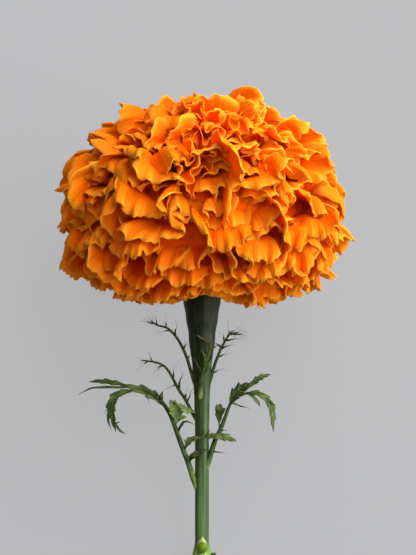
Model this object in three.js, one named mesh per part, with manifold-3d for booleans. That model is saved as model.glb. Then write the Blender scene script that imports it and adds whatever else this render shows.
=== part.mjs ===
// African marigold: one double flower as cut, lying on a level surface. Millimetres.
//
// The flower is modelled upright in its own axes: x to the right, y from the cut end of the stem
// towards the bloom, z towards the front. Its group is then tilted back until the bloom's side and
// the lower edge of the cut rest on the plane z = 0 of the part's frame, which has +Z up, +Y along
// the flower towards the bloom, and its origin under the middle of the whole flower.
import * as THREE from "three";
import { mergeVertices } from "three/addons/utils/BufferGeometryUtils.js";
import Module from "manifold-3d";

const wasm = await Module();
wasm.setup();

// ---- Driving dimensions ------------------------------------------------------------------------

const BLOOM_RADIUS = 43.4; // widest reach of the petals from the flower's axis
const CROWN_HEIGHT = 37.5; // from the bloom's centre to its top
const SKIRT_DEPTH = 23; // from the bloom's centre to its lowest petals
const BLOOM_CENTRE = 111.5; // height of the bloom's centre above the cut end
const BLOOM_OFFSET = 0.8; // the head sits this far to the right of the stem
const CORE_SHARE = 0.8; // reach of the packed inner petals, as a share of the bloom's
const CORE_SKIRT = 12; // depth of the packed inner petals under the bloom's centre
const CORE_WAVE = 0.035; // how far their ends stand in and out, as a share of that reach

const FLORETS = 86;
const FLORET_HALF_WIDTH = 11.5; // along the waved margin, from its middle to its end
const FLORET_THICKNESS = 0.7;
const FLORET_START = 0.5; // where a floret is taken up inside the core, as a share of its length
const LAST_POLAR = 158; // degrees from the bloom's top to the lowest florets

const STEM_RADIUS = 2.15;
const CUT_RADIUS = 2.2;
const NODE_HEIGHT = 13; // of the swollen node, above the cut end
const PEDUNCLE_TOP = 93; // where the peduncle ends and the involucre begins
const PEDUNCLE_TOP_RADIUS = 6.2;
const STEM_RIBS = 6;
const INVOLUCRE_HEIGHT = 13.5;
const INVOLUCRE_RADIUS = 7.8;
const INVOLUCRE_TEETH = 8;

const CLEARANCE = 0.3; // between neighbouring pieces
const LEAF_THICKNESS = 0.65;

const REST_TILT = THREE.MathUtils.degToRad(18.2); // of the stem, rising from its cut end
const PRESS_DEPTH = 5.2; // how far the petals underneath are pushed up by the surface
const PRESS_SLOPE = 0.2; // how much of its spread a petal keeps where it is pressed the most

const COLOURS = {
  petal: { color: 0xf27a05, roughness: 0.55 },
  peduncle: { color: 0x3f6136, roughness: 0.5 },
  involucre: { color: 0x35522f, roughness: 0.55 },
  leaf: { color: 0x3d6b32, roughness: 0.55 },
  bud: { color: 0x7fa11e, roughness: 0.45 },
};

// ---- Small helpers -----------------------------------------------------------------------------

const vector = (x, y, z) => new THREE.Vector3(x, y, z);
const mix = THREE.MathUtils.lerp;
const ease = THREE.MathUtils.smoothstep;
const degrees = THREE.MathUtils.degToRad;

/** Repeatable draws from 0 to 1. */
function seededDraws(seed) {
  let state = seed;
  return () => {
    state = (Math.imul(state, 1664525) + 1013904223) >>> 0;
    return state / 4294967296;
  };
}

/** A closed three.js geometry as a solid that can be joined and cut. */
function solidOf(geometry) {
  const bare = geometry.clone();
  bare.deleteAttribute("normal");
  bare.deleteAttribute("uv");
  const merged = mergeVertices(bare, 1e-4);
  return new wasm.Manifold(
    new wasm.Mesh({
      numProp: 3,
      vertProperties: merged.attributes.position.array,
      triVerts: new Uint32Array(merged.index.array),
    }),
  );
}

/** The largest body of a solid: sealed hollows are filled and loose scraps dropped. */
function mainBody(solid) {
  return solid.decompose().reduce((a, b) => (b.volume() > a.volume() ? b : a));
}

function geometryOf(solid) {
  const mesh = solid.getMesh();
  const geometry = new THREE.BufferGeometry();
  geometry.setAttribute(
    "position",
    new THREE.Float32BufferAttribute(mesh.vertProperties, 3),
  );
  geometry.setIndex(new THREE.BufferAttribute(mesh.triVerts, 1));
  geometry.computeVertexNormals();
  return geometry;
}

function fuse(geometries) {
  return wasm.Manifold.union(geometries.map(solidOf));
}

function piece(name, solid, look) {
  const mesh = new THREE.Mesh(
    geometryOf(mainBody(solid)),
    new THREE.MeshStandardMaterial({ ...COLOURS[look], metalness: 0 }),
  );
  mesh.name = name;
  return mesh;
}

/** Moves every vertex of a geometry by a function of its place. */
function reshape(geometry, move) {
  const position = geometry.getAttribute("position");
  const point = vector(0, 0, 0);
  for (let i = 0; i < position.count; i++) {
    point.fromBufferAttribute(position, i);
    move(point);
    position.setXYZ(i, point.x, point.y, point.z);
  }
  return geometry;
}

/**
 * A waved sheet of even thickness, split into the same triangles on both faces.
 * middle(column, row) gives the points half-way through it.
 */
function sheet(columns, rows, thickness, middle) {
  const grid = [];
  for (let row = 0; row <= rows; row++)
    for (let column = 0; column <= columns; column++)
      grid.push(middle(column, row));
  const at = (column, row) =>
    grid[
      THREE.MathUtils.clamp(row, 0, rows) * (columns + 1) +
        THREE.MathUtils.clamp(column, 0, columns)
    ];
  const faces = [[], []];
  for (let row = 0; row <= rows; row++)
    for (let column = 0; column <= columns; column++) {
      const across = at(column + 1, row).clone().sub(at(column - 1, row));
      const along = at(column, row + 1).clone().sub(at(column, row - 1));
      const normal = across.cross(along).normalize();
      for (const [side, sign] of [1, -1].entries())
        faces[side].push(
          at(column, row).clone().addScaledVector(normal, (sign * thickness) / 2),
        );
    }
  const size = grid.length;
  const index = [];
  const number = (column, row, side) => side * size + row * (columns + 1) + column;
  for (let row = 0; row < rows; row++)
    for (let column = 0; column < columns; column++) {
      const [a, b, c, d] = [
        [column, row],
        [column + 1, row],
        [column + 1, row + 1],
        [column, row + 1],
      ];
      const corners = (column + row) % 2 ? [a, b, c, a, c, d] : [a, b, d, b, c, d];
      index.push(...corners.map((corner) => number(...corner, 0)));
      index.push(...corners.reverse().map((corner) => number(...corner, 1)));
    }
  const rim = [];
  for (let column = 0; column < columns; column++) rim.push([column, 0]);
  for (let row = 0; row < rows; row++) rim.push([columns, row]);
  for (let column = columns; column > 0; column--) rim.push([column, rows]);
  for (let row = rows; row > 0; row--) rim.push([0, row]);
  rim.forEach((corner, i) => {
    const next = rim[(i + 1) % rim.length];
    const [a, b] = [number(...corner, 0), number(...next, 0)];
    const [c, d] = [number(...next, 1), number(...corner, 1)];
    index.push(a, c, b, a, d, c);
  });
  const geometry = new THREE.BufferGeometry().setFromPoints(faces.flat());
  geometry.setIndex(index);
  return geometry;
}

/** A round stalk that tapers along a curve. */
function stalk(curve, startRadius, endRadius, sides, steps) {
  const geometry = new THREE.CylinderGeometry(endRadius, startRadius, 1, sides, steps);
  const frames = curve.computeFrenetFrames(steps, false);
  return reshape(geometry, (point) => {
    const step = Math.round((point.y + 0.5) * steps);
    const { x, z } = point;
    curve.getPointAt(step / steps, point);
    point.addScaledVector(frames.normals[step], z);
    point.addScaledVector(frames.binormals[step], x);
  });
}

const smoothCurve = (points) =>
  new THREE.CatmullRomCurve3(points.map((p) => vector(...p)));

// ---- How the flower lies -----------------------------------------------------------------------

const REST_UP = vector(0, Math.sin(REST_TILT), Math.cos(REST_TILT));
const REST_HEIGHT = CUT_RADIUS * Math.cos(REST_TILT); // of the cut end's centre

/** Presses a point up from the surface, smoothly, as soft petals give way under the bloom. */
function press(point) {
  const height = REST_HEIGHT + point.dot(REST_UP);
  const above = height + PRESS_DEPTH;
  const reach = (2 * PRESS_DEPTH) / (1 - PRESS_SLOPE);
  if (above >= reach) return point;
  const curved = ((1 - PRESS_SLOPE) / (2 * reach)) * above * above;
  const pressed = PRESS_SLOPE * above + (above > 0 ? curved : 0);
  return point.addScaledVector(REST_UP, pressed - height);
}

// ---- The stem and its node ---------------------------------------------------------------------

const STEM_PROFILE = [
  [0, CUT_RADIUS],
  [9.5, CUT_RADIUS],
  [NODE_HEIGHT - 1.4, STEM_RADIUS + 0.75],
  [NODE_HEIGHT + 0.8, STEM_RADIUS + 0.8],
  [NODE_HEIGHT + 5, STEM_RADIUS],
  [50, STEM_RADIUS],
  [60, STEM_RADIUS + 0.2],
  [69, 2.9],
  [79.5, 4.1],
  [85, 4.95],
  [90, 5.75],
  [PEDUNCLE_TOP, PEDUNCLE_TOP_RADIUS],
];
const STEM_SIDES = 4 * STEM_RIBS;
const RIB_DEPTH = 0.045; // as a share of the radius

/** Ribs that run along a turned piece. The cut end's lowest point keeps its radius. */
function ribbed(geometry, ribs, depth) {
  return reshape(geometry, (point) => {
    const turn = Math.atan2(point.x, -point.z);
    const radius = 1 - depth * (1 - Math.cos(ribs * turn)) * 0.5;
    point.x *= radius;
    point.z *= radius;
  });
}

function stemSolid(extra = 0) {
  const profile = STEM_PROFILE.map(
    ([height, radius]) => new THREE.Vector2(radius + extra, height),
  );
  const [bottom, top] = [-extra, PEDUNCLE_TOP + extra];
  profile[0].y = bottom;
  profile[profile.length - 1].y = top;
  const closed = [
    new THREE.Vector2(0, bottom),
    ...profile,
    new THREE.Vector2(0, top),
  ];
  return solidOf(
    ribbed(
      new THREE.LatheGeometry(closed, STEM_SIDES),
      STEM_RIBS,
      extra ? 0 : RIB_DEPTH,
    ),
  );
}

/** The side shoot's bud, egg-shaped, in the node at the front, with a pointed cap over it. */
function budSolid() {
  const LEAN = degrees(8);
  const bud = new THREE.SphereGeometry(1, 10, 8);
  bud.scale(1.5, 1.8, 1.1).rotateX(LEAN);
  bud.translate(0.1, NODE_HEIGHT + 3.2, STEM_RADIUS + 0.8);
  const cap = reshape(new THREE.SphereGeometry(1, 10, 8), (point) => {
    point.x *= 1 - 0.75 * Math.max(0, point.y) ** 1.5;
  });
  cap.scale(1.5, 2.5, 0.95).rotateX(LEAN);
  cap.translate(0, NODE_HEIGHT + 4.6, STEM_RADIUS + 0.3);
  return fuse([bud, cap]);
}

// ---- The involucre -----------------------------------------------------------------------------

/** The green cup of fused bracts that holds the florets, with a toothed rim. */
function involucreSolid(extra = 0) {
  const TOOTH_HEIGHT = 1.5;
  const RIB = 0.06;
  const inner = extra ? (INVOLUCRE_RADIUS - 1) * (1 - RIB) - extra : INVOLUCRE_RADIUS - 1;
  const bottom = PEDUNCLE_TOP + CLEARANCE - extra;
  const rim = PEDUNCLE_TOP + INVOLUCRE_HEIGHT;
  const top = extra ? rim + TOOTH_HEIGHT + extra : rim;
  const profile = [
    [0, bottom],
    [PEDUNCLE_TOP_RADIUS + 0.1 + extra, bottom],
    [INVOLUCRE_RADIUS - 0.6 + extra, mix(bottom, rim, 0.3)],
    [INVOLUCRE_RADIUS + extra, mix(bottom, rim, 0.7)],
    [INVOLUCRE_RADIUS + 0.2 + extra, top],
    [inner, top],
    [inner, rim - 2 + extra],
    [0, rim - 2 + extra],
  ].map(([radius, height]) => new THREE.Vector2(radius, height));
  const cup = new THREE.LatheGeometry(profile, 4 * INVOLUCRE_TEETH);
  if (extra) return solidOf(cup);
  ribbed(cup, INVOLUCRE_TEETH, RIB);
  return solidOf(
    reshape(cup, (point) => {
      const turn = Math.atan2(point.x, -point.z);
      if (point.y > rim - 0.01)
        point.y += TOOTH_HEIGHT * Math.cos(INVOLUCRE_TEETH * turn);
    }),
  );
}

// ---- The bloom ---------------------------------------------------------------------------------

/** How far the petals reach from the bloom's centre, at an angle from its top. */
function bloomReach(polar) {
  const crown = Math.cos(polar) >= 0;
  const power = crown ? 2.15 : 3.6;
  const height = crown ? CROWN_HEIGHT : SKIRT_DEPTH;
  const sum =
    (Math.sin(polar) / BLOOM_RADIUS) ** power +
    (Math.abs(Math.cos(polar)) / height) ** power;
  return sum ** (-1 / power);
}

/** The closely packed inner petals, as one smaller dome that the outer ones stand out of. */
function coreGeometry() {
  const [AROUND, DOWN] = [20, 12];
  const dome = new THREE.SphereGeometry(1, AROUND, DOWN);
  return reshape(dome, (point) => {
    const polar = Math.acos(THREE.MathUtils.clamp(point.y, -1, 1));
    const turn = Math.atan2(point.z, -point.x);
    const wave = Math.cos((AROUND / 2) * turn) * Math.cos(DOWN * polar);
    const edge = Math.min(1, 2 * Math.sin(polar));
    point.multiplyScalar(CORE_SHARE * bloomReach(polar) * (1 + CORE_WAVE * wave * edge));
    if (point.y < 0) point.y *= CORE_SKIRT / (CORE_SHARE * SKIRT_DEPTH);
    placeInBloom(point);
  });
}

function placeInBloom(point) {
  return press(point.add(vector(BLOOM_OFFSET, BLOOM_CENTRE, 0)));
}

/**
 * The florets from the top down, each a plain record of its angles and waves. They follow a golden
 * spiral with even room for each, and the lowest hang down round the involucre.
 */
function floretPlan() {
  const draw = seededDraws(20);
  const either = (spread) => (draw() * 2 - 1) * spread;
  const GOLDEN_TURN = degrees(137.508);
  const lastHeight = Math.cos(degrees(LAST_POLAR));
  const plan = [];
  for (let i = 0; i < FLORETS; i++) {
    const share = (i + 0.5) / FLORETS;
    const polar = Math.acos(mix(1, lastHeight, share)) + either(0.04);
    const crownShare = 1 - ease(polar, 0, degrees(80));
    plan.push({
      polar,
      turn: i * GOLDEN_TURN + either(0.1),
      reach: bloomReach(polar) * (1 + either(0.025)),
      roll: either(mix(0.25, 1.3, crownShare)),
      halfWidth: FLORET_HALF_WIDTH * mix(1, 0.72, crownShare) * (1 + either(0.12)),
      bend: degrees(mix(72, 40, crownShare)) + either(0.3),
      waves: 2 + either(0.35),
      phase: either(Math.PI),
      wave: 0.95 + either(0.25),
      cup: mix(0.35, 0.85, crownShare) + either(0.25),
    });
  }
  return plan;
}

/** The floret's middle line, from the receptacle out to its tip, in the plane of the axis. */
function floretLine({ polar, reach, bend }) {
  const share = Math.min(1, polar / degrees(LAST_POLAR));
  const RECEPTACLE_RADIUS = 6.5;
  const start = new THREE.Vector2(
    RECEPTACLE_RADIUS * share ** 0.7,
    -8 + 3 * (1 - share * share),
  );
  const tip = new THREE.Vector2(Math.sin(polar), Math.cos(polar)).multiplyScalar(reach);
  const heading = (angle) => new THREE.Vector2(Math.sin(angle), Math.cos(angle));
  const startHeading = heading(Math.min(polar * 0.85, degrees(95)));
  const tipHeading = heading(Math.min(polar + bend, degrees(178)));
  const length = start.distanceTo(tip);
  return new THREE.CubicBezierCurve(
    start,
    start.clone().addScaledVector(startHeading, length * 0.4),
    tip.clone().addScaledVector(tipHeading, -Math.min(16, length * 0.5)),
    tip,
  );
}

/** One ray floret: narrow at its claw, then a fan whose waved margin is longer than its room. */
function floretGeometry(floret) {
  const COLUMNS = 4;
  const ROWS = 2;
  const line = floretLine(floret);
  const outward = vector(Math.sin(floret.turn), 0, Math.cos(floret.turn));
  const up = vector(0, 1, 0);
  const sideways = up.clone().cross(outward);

  const middle = (column, row) => {
    const share = mix(FLORET_START, 1, row / ROWS);
    const end = (2 * column) / COLUMNS - 1;
    const along = share - 0.1 * end * end * share ** 4;
    const flare = ease(share, 0.3, 1);
    const lean = (a) =>
      floret.cup * a * (1 - 0.5 * flare) +
      floret.wave *
        flare *
        (Math.sin(Math.PI * floret.waves * a + floret.phase) +
          0.35 * Math.sin(Math.PI * 2.3 * floret.waves * a + 2 * floret.phase));
    const halfWidth = mix(1.3, floret.halfWidth, flare);
    const PARTS = 6; // short steps along the waved row, from its middle
    let [across, rise] = [0, 0];
    for (let i = 0; i < PARTS; i++) {
      const angle = lean((end * (i + 0.5)) / PARTS);
      across += (Math.cos(angle) * halfWidth * end) / PARTS;
      rise += (Math.sin(angle) * halfWidth * end) / PARTS;
    }
    const place = line.getPoint(along);
    const heading = line.getTangent(along);
    const ahead = outward
      .clone()
      .multiplyScalar(heading.x)
      .addScaledVector(up, heading.y);
    const face = outward
      .clone()
      .multiplyScalar(-heading.y)
      .addScaledVector(up, heading.x);
    const offset = sideways
      .clone()
      .multiplyScalar(across)
      .addScaledVector(face, rise)
      .applyAxisAngle(ahead, floret.roll * flare);
    const point = outward.clone().multiplyScalar(place.x).addScaledVector(up, place.y);
    return placeInBloom(point.add(offset));
  };
  return sheet(COLUMNS, ROWS, FLORET_THICKNESS, middle);
}

function bloomSolid() {
  const florets = floretPlan().map(floretGeometry);
  return fuse([coreGeometry(), ...florets])
    .subtract(involucreSolid(CLEARANCE))
    .subtract(stemSolid(CLEARANCE))
    .trimByPlane(REST_UP.toArray(), -REST_HEIGHT);
}

// ---- The leaves --------------------------------------------------------------------------------

/**
 * One toothed leaflet along its midrib: [x, y, z] points, its greatest half width and where along it
 * that is, how many teeth it has on each edge, and the way that its upper face looks.
 */
function leafletGeometry({ midrib, halfWidth, teeth, widest, facing }) {
  const rows = 2 * teeth;
  const curve = smoothCurve(midrib);
  const TOOTH_DEPTH = 0.42;
  const KEEL = 0.28; // how steeply the two halves rise from the midrib
  const look = vector(...facing);
  const power = Math.log(0.5) / Math.log(widest);
  return sheet(2, rows, LEAF_THICKNESS, (column, row) => {
    const share = row / rows;
    const side = column - 1;
    const ahead = curve.getTangentAt(share);
    const across = ahead.clone().cross(look).normalize();
    const face = across.clone().cross(ahead);
    const swell = Math.max(0.16, Math.sin(Math.PI * share ** power));
    const notch = row % 2 ? 1 : 1 - TOOTH_DEPTH;
    const width = halfWidth * swell * notch * side;
    return curve
      .getPointAt(share)
      .addScaledVector(across, width)
      .addScaledVector(face, KEEL * Math.abs(width))
      .addScaledVector(ahead, row % 2 ? 0.5 * Math.abs(side) * notch : 0);
  });
}

/** A threadlike lobe: a slim cone from its root towards its tip. */
function threadGeometry({ from, to, radius }) {
  const line = new THREE.LineCurve3(vector(...from), vector(...to));
  return stalk(line, radius, 0.14, 4, 1);
}

/** A leaf: its stalk and rachis, toothed leaflets and threadlike lobes, cut clear of the stem. */
function leafSolid({ rachis, radii, leaflets = [], threads = [] }) {
  const curve = smoothCurve(rachis);
  const steps = 3 * (rachis.length - 1);
  return fuse([
    stalk(curve, radii[0], radii[1], 6, steps),
    ...leaflets.map(leafletGeometry),
    ...threads.map(threadGeometry),
  ])
    .subtract(stemSolid(CLEARANCE))
    .trimByPlane([0, 1, 0], 0);
}

const LEAF_LEFT = {
  radii: [0.95, 0.5],
  rachis: [
    [-0.8, 31.4, 0.4],
    [-2.55, 36.8, 0.9],
    [-4.1, 41.8, 1.5],
    [-5.4, 45.2, 1.8],
    [-7, 49.6, 2.1],
    [-8.4, 53.6, 2.2],
    [-9.7, 56.6, 2.1],
    [-11.8, 59.6, 1.7],
    [-15, 62, 1],
    [-18.8, 63.5, 0.5],
    [-23, 64.4, 0.1],
  ],
  leaflets: [
    {
      midrib: [[-10.4, 57.8, 1.9], [-12.9, 60.6, 1.5], [-17.4, 63.1, 0.8], [-24.6, 64.7, 0.1]],
      halfWidth: 1.8,
      teeth: 4,
      widest: 0.45,
      facing: [-0.3, 0.4, 0.87],
    },
    {
      midrib: [[-21.5, 64.3, 0.3], [-25.4, 65.2, 0.1], [-29.6, 65.7, -0.4], [-33.8, 65.6, -1.2]],
      halfWidth: 1.1,
      teeth: 4,
      widest: 0.5,
      facing: [0, 0.5, 0.87],
    },
    {
      midrib: [[-21.5, 64, 0.3], [-27, 64.1, 0.9], [-32.6, 63.9, 1.2], [-36.6, 62, 1.3]],
      halfWidth: 0.5,
      teeth: 3,
      widest: 0.4,
      facing: [0, 0.6, 0.8],
    },
    {
      midrib: [[-19.6, 63.2, 0.6], [-24.6, 62.2, 2.2], [-26.8, 58.4, 3], [-25.5, 51.1, 3.2]],
      halfWidth: 1.8,
      teeth: 6,
      widest: 0.48,
      facing: [-0.35, 0.3, 0.85],
    },
    {
      midrib: [[-26.3, 59.4, 2.9], [-27.6, 57, 3.2], [-27.6, 54, 3.3], [-26.8, 51.6, 3.2]],
      halfWidth: 0.6,
      teeth: 2,
      widest: 0.35,
      facing: [-0.2, 0.2, 0.95],
    },
    {
      midrib: [[-25.9, 54.4, 3.2], [-25.2, 52.8, 3.4], [-24, 51.4, 3.5], [-22.4, 50.3, 3.4]],
      halfWidth: 0.55,
      teeth: 2,
      widest: 0.4,
      facing: [0.3, 0.3, 0.9],
    },
    {
      midrib: [[-8.2, 52.6, 2.3], [-7.3, 55, 3.2], [-7.9, 57.8, 3.9], [-9.3, 60.7, 4]],
      halfWidth: 2.5,
      teeth: 5,
      widest: 0.6,
      facing: [0.1, 0.05, 1],
    },
    {
      midrib: [[-7.4, 54.2, 2.9], [-6.5, 55, 3.4], [-5.4, 55.5, 3.7], [-4.4, 55.6, 3.8]],
      halfWidth: 0.75,
      teeth: 2,
      widest: 0.5,
      facing: [0.2, 0.3, 0.9],
    },
    {
      midrib: [[-8.6, 59.9, 4], [-6.5, 59, 4.6], [-4.3, 57.6, 4.9], [-2, 57.4, 5]],
      halfWidth: 1.2,
      teeth: 4,
      widest: 0.6,
      facing: [0.3, 0.4, 0.87],
    },
    {
      midrib: [[-7.3, 50.2, 2.1], [-6.2, 53, 3.1], [-4.6, 54.3, 3.7], [-2.4, 53.4, 3.8]],
      halfWidth: 0.55,
      teeth: 3,
      widest: 0.35,
      facing: [0.2, 0.6, 0.75],
    },
    {
      midrib: [[-5.3, 45, 1.8], [-4.3, 47.6, 3.2], [-3, 49, 4], [-0.6, 49.6, 4.6]],
      halfWidth: 1.2,
      teeth: 3,
      widest: 0.6,
      facing: [0, 0.3, 0.95],
    },
    {
      midrib: [[-3.2, 48.8, 4], [1.5, 49.9, 4.8], [5.8, 49.9, 4.8], [10.3, 48.5, 4.4]],
      halfWidth: 1.5,
      teeth: 6,
      widest: 0.66,
      facing: [0, 0.5, 0.87],
    },
    {
      midrib: [[-3.9, 41, 1.5], [-3.4, 43.4, 2.9], [-1.2, 44.8, 3.7], [1.7, 46.1, 3.6]],
      halfWidth: 1.15,
      teeth: 3,
      widest: 0.45,
      facing: [0.2, 0.5, 0.85],
    },
  ],
  threads: [
    { from: [-12.2, 60.2, 1.6], to: [-11.6, 63, 2], radius: 0.9 },
    { from: [-16.1, 62.2, 0.9], to: [-15.8, 59.9, 1.3], radius: 0.36 },
    { from: [-27.2, 57.9, 3.1], to: [-28.3, 57.1, 3.2], radius: 0.36 },
    { from: [-25.9, 53.8, 3.2], to: [-24.2, 54.2, 3.5], radius: 0.4 },
    { from: [-4.4, 47.4, 3.1], to: [-5.4, 49.1, 3.6], radius: 0.4 },
    { from: [1.2, 50, 4.8], to: [2.1, 52.1, 4.7], radius: 0.45 },
  ],
};

const LEAF_RIGHT = {
  radii: [0.95, 0.5],
  rachis: [
    [0.7, 37.8, 0.4],
    [2.3, 43.2, 1.1],
    [3.9, 48.3, 1.4],
    [5.6, 51.8, 1.3],
    [7.1, 55.6, 0.9],
    [8.3, 58.8, 0.5],
    [10.4, 61.8, 0.3],
  ],
  leaflets: [
    {
      midrib: [[8.2, 58.6, 0.7], [9.7, 61.4, 0.8], [11.7, 63.4, 0.6], [14.2, 65.3, 0.2]],
      halfWidth: 2.4,
      teeth: 4,
      widest: 0.52,
      facing: [-0.3, 0.25, 0.92],
    },
    {
      midrib: [[12.2, 63, 0.5], [14.9, 65, 0.3], [17.7, 67, -0.2], [20.6, 67.8, -1]],
      halfWidth: 1.2,
      teeth: 5,
      widest: 0.55,
      facing: [-0.3, 0.3, 0.9],
    },
    {
      midrib: [[11, 61.8, 0.5], [16.4, 62.3, 1.8], [20.3, 58.9, 2.7], [21.2, 51, 2.8]],
      halfWidth: 1.55,
      teeth: 6,
      widest: 0.52,
      facing: [0.4, 0.5, 0.75],
    },
    {
      midrib: [[13.2, 62.3, 1.1], [14.8, 61.6, 1.9], [16.2, 60.3, 2.3], [17.3, 58.5, 2.5]],
      halfWidth: 0.8,
      teeth: 2,
      widest: 0.5,
      facing: [0.3, 0.4, 0.85],
    },
    {
      midrib: [[20.4, 57.8, 2.8], [20.6, 56.2, 3.1], [20.6, 54.8, 3.1], [20.4, 53, 3.2]],
      halfWidth: 0.4,
      teeth: 2,
      widest: 0.4,
      facing: [0.1, 0.2, 0.95],
    },
    {
      midrib: [[5.3, 51.2, 1.4], [5.1, 54, 2.4], [5.2, 56.6, 2.9], [5.5, 59.4, 2.7]],
      halfWidth: 1.9,
      teeth: 3,
      widest: 0.74,
      facing: [-0.15, -0.1, 1],
    },
    {
      midrib: [[8.4, 59.4, 0.8], [9.4, 59.4, 1.4], [10.4, 59, 1.7], [11.2, 58.6, 1.7]],
      halfWidth: 0.55,
      teeth: 2,
      widest: 0.45,
      facing: [0.2, 0.5, 0.85],
    },
  ],
  threads: [
    { from: [10.8, 58.8, 1.7], to: [13.4, 58.1, 1.6], radius: 0.3 },
    { from: [2.9, 45.2, 1.4], to: [6.4, 44.8, 2], radius: 0.36 },
    { from: [5.2, 51.4, 1.5], to: [6.9, 51.5, 2.6], radius: 0.4 },
    { from: [20, 59.9, 2.5], to: [21.7, 59, 2.7], radius: 0.45 },
  ],
};

const BRACT_LEFT_UPPER = {
  radii: [0.55, 0.34],
  rachis: [
    [-1.8, 63.2, 0.3],
    [-3.5, 69.5, 0.6],
    [-4.8, 73.6, 0.8],
    [-6.9, 77.9, 0.9],
    [-9.2, 80.8, 1],
    [-10.9, 81.9, 0.9],
    [-13.5, 82.6, 0.6],
    [-15.3, 84, 0.2],
  ],
  threads: [
    { from: [-7.9, 79.4, 1], to: [-7.5, 81.8, 1.5], radius: 0.42 },
    { from: [-5.6, 75.4, 0.9], to: [-4.7, 77, 1.4], radius: 0.42 },
    { from: [-9.2, 80.9, 1], to: [-11.4, 80.7, 1.6], radius: 0.36 },
    { from: [-10.9, 81.7, 0.9], to: [-10.8, 83.4, 1.2], radius: 0.36 },
    { from: [-13.4, 82.5, 0.6], to: [-13.6, 84.2, 0.9], radius: 0.36 },
    { from: [-14.2, 82.9, 0.5], to: [-16.6, 83.6, 0.6], radius: 0.36 },
    { from: [-4.4, 72.6, 0.8], to: [-3.6, 73.7, 1.4], radius: 0.36 },
  ],
};

const BRACT_LEFT_LOWER = {
  radii: [0.55, 0.34],
  rachis: [
    [-1.2, 52.8, -0.8],
    [-3.6, 57.6, -1],
    [-5.2, 60.6, -1.1],
    [-6.9, 63.1, -1.1],
    [-8.7, 66.5, -1],
    [-10.1, 68.9, -0.9],
    [-11.8, 70.6, -0.8],
    [-14.6, 71.5, -0.8],
    [-18.3, 72, -1],
  ],
  threads: [
    { from: [-8.7, 66.4, -1], to: [-8.5, 68.9, -0.5], radius: 0.45 },
    { from: [-6.9, 63.2, -1.1], to: [-5.9, 67.4, -0.4], radius: 0.45 },
    { from: [-7.7, 64.6, -1], to: [-8.8, 64.3, -0.6], radius: 0.42 },
    { from: [-5.2, 60.4, -1.1], to: [-4.8, 62.2, -0.4], radius: 0.55 },
    { from: [-4.6, 59.6, -1.1], to: [-3.3, 62.8, 0.9], radius: 0.36 },
    { from: [-11.8, 70.4, -0.8], to: [-13.2, 69.3, -0.3], radius: 0.4 },
    { from: [-14.6, 71.5, -0.8], to: [-15.4, 72.8, -0.5], radius: 0.36 },
    { from: [-16.2, 71.8, -0.9], to: [-17.4, 70.9, -0.6], radius: 0.36 },
  ],
};

const BRACT_FRONT = {
  radii: [0.8, 0.34],
  rachis: [
    [-0.5, 58.6, 0.9],
    [-0.4, 64.4, 2.9],
    [0, 67.6, 3.8],
    [0.9, 71, 4.4],
    [1.9, 74, 4.9],
    [2.4, 76.4, 5.2],
    [0.8, 78.2, 5.4],
    [-1.6, 79.8, 5.4],
  ],
  leaflets: [
    {
      midrib: [[0.2, 66.4, 3.6], [1.2, 69.8, 4.3], [2, 73, 4.8], [2.8, 76.8, 5]],
      halfWidth: 1.45,
      teeth: 3,
      widest: 0.5,
      facing: [0, 0, 1],
    },
  ],
  threads: [
    { from: [0.1, 68.2, 3.9], to: [-2.5, 73.4, 4.5], radius: 0.45 },
    { from: [1.3, 72.6, 4.7], to: [-0.4, 75.9, 5.3], radius: 0.45 },
    { from: [2.3, 75.4, 5.1], to: [4.6, 76.8, 5.2], radius: 0.45 },
    { from: [2.2, 76.8, 5.3], to: [3.6, 78.4, 5.2], radius: 0.4 },
  ],
};

const BRACT_RIGHT = {
  radii: [0.6, 0.34],
  rachis: [
    [1.2, 61.8, -0.6],
    [2.9, 67.6, -0.4],
    [3.9, 71, 0],
    [4.8, 73.4, 0.3],
    [5.8, 75.8, 0.4],
    [7.1, 78.1, 0.3],
    [8.2, 79.6, 0.1],
    [9.8, 79.9, -0.2],
  ],
  threads: [
    { from: [9.2, 79.8, -0.1], to: [12.2, 79.6, -0.6], radius: 0.34 },
    { from: [7, 78, 0.3], to: [10, 78.5, 0.9], radius: 0.4 },
    { from: [5.7, 75.4, 0.4], to: [8.6, 76.6, 1], radius: 0.38 },
    { from: [4.8, 73.2, 0.3], to: [6.9, 74, 0.7], radius: 0.36 },
    { from: [3.2, 68.4, -0.3], to: [4.9, 69.3, 0.2], radius: 0.36 },
    { from: [6.8, 77.6, 0.3], to: [6.5, 79.6, 0.7], radius: 0.42 },
    { from: [8, 79.3, 0.1], to: [7.9, 81.2, 0.3], radius: 0.36 },
    { from: [5.8, 75.8, 0.4], to: [4, 77.2, 0.8], radius: 0.45 },
    { from: [7.5, 78.8, 0.2], to: [9.8, 81, 0.4], radius: 0.42 },
    { from: [8.4, 79.7, 0], to: [11.2, 80.5, -0.3], radius: 0.42 },
  ],
};

// ---- The flower, laid down ---------------------------------------------------------------------

const flower = new THREE.Group();
flower.add(
  piece("bloom", bloomSolid(), "petal"),
  piece("involucre", involucreSolid(), "involucre"),
  piece("stem", stemSolid(), "peduncle"),
  piece("side_bud", budSolid().subtract(stemSolid(CLEARANCE)), "bud"),
  piece("leaf_left", leafSolid(LEAF_LEFT), "leaf"),
  piece("leaf_right", leafSolid(LEAF_RIGHT), "leaf"),
  piece("bract_left_upper", leafSolid(BRACT_LEFT_UPPER), "leaf"),
  piece("bract_left_lower", leafSolid(BRACT_LEFT_LOWER), "leaf"),
  piece("bract_front", leafSolid(BRACT_FRONT), "leaf"),
  piece("bract_right", leafSolid(BRACT_RIGHT), "leaf"),
);
flower.rotation.x = REST_TILT;
flower.position.z = REST_HEIGHT;

const middle = new THREE.Box3()
  .setFromObject(flower, true)
  .getCenter(vector(0, 0, 0));
flower.position.x = -middle.x;
flower.position.y = -middle.y;

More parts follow.
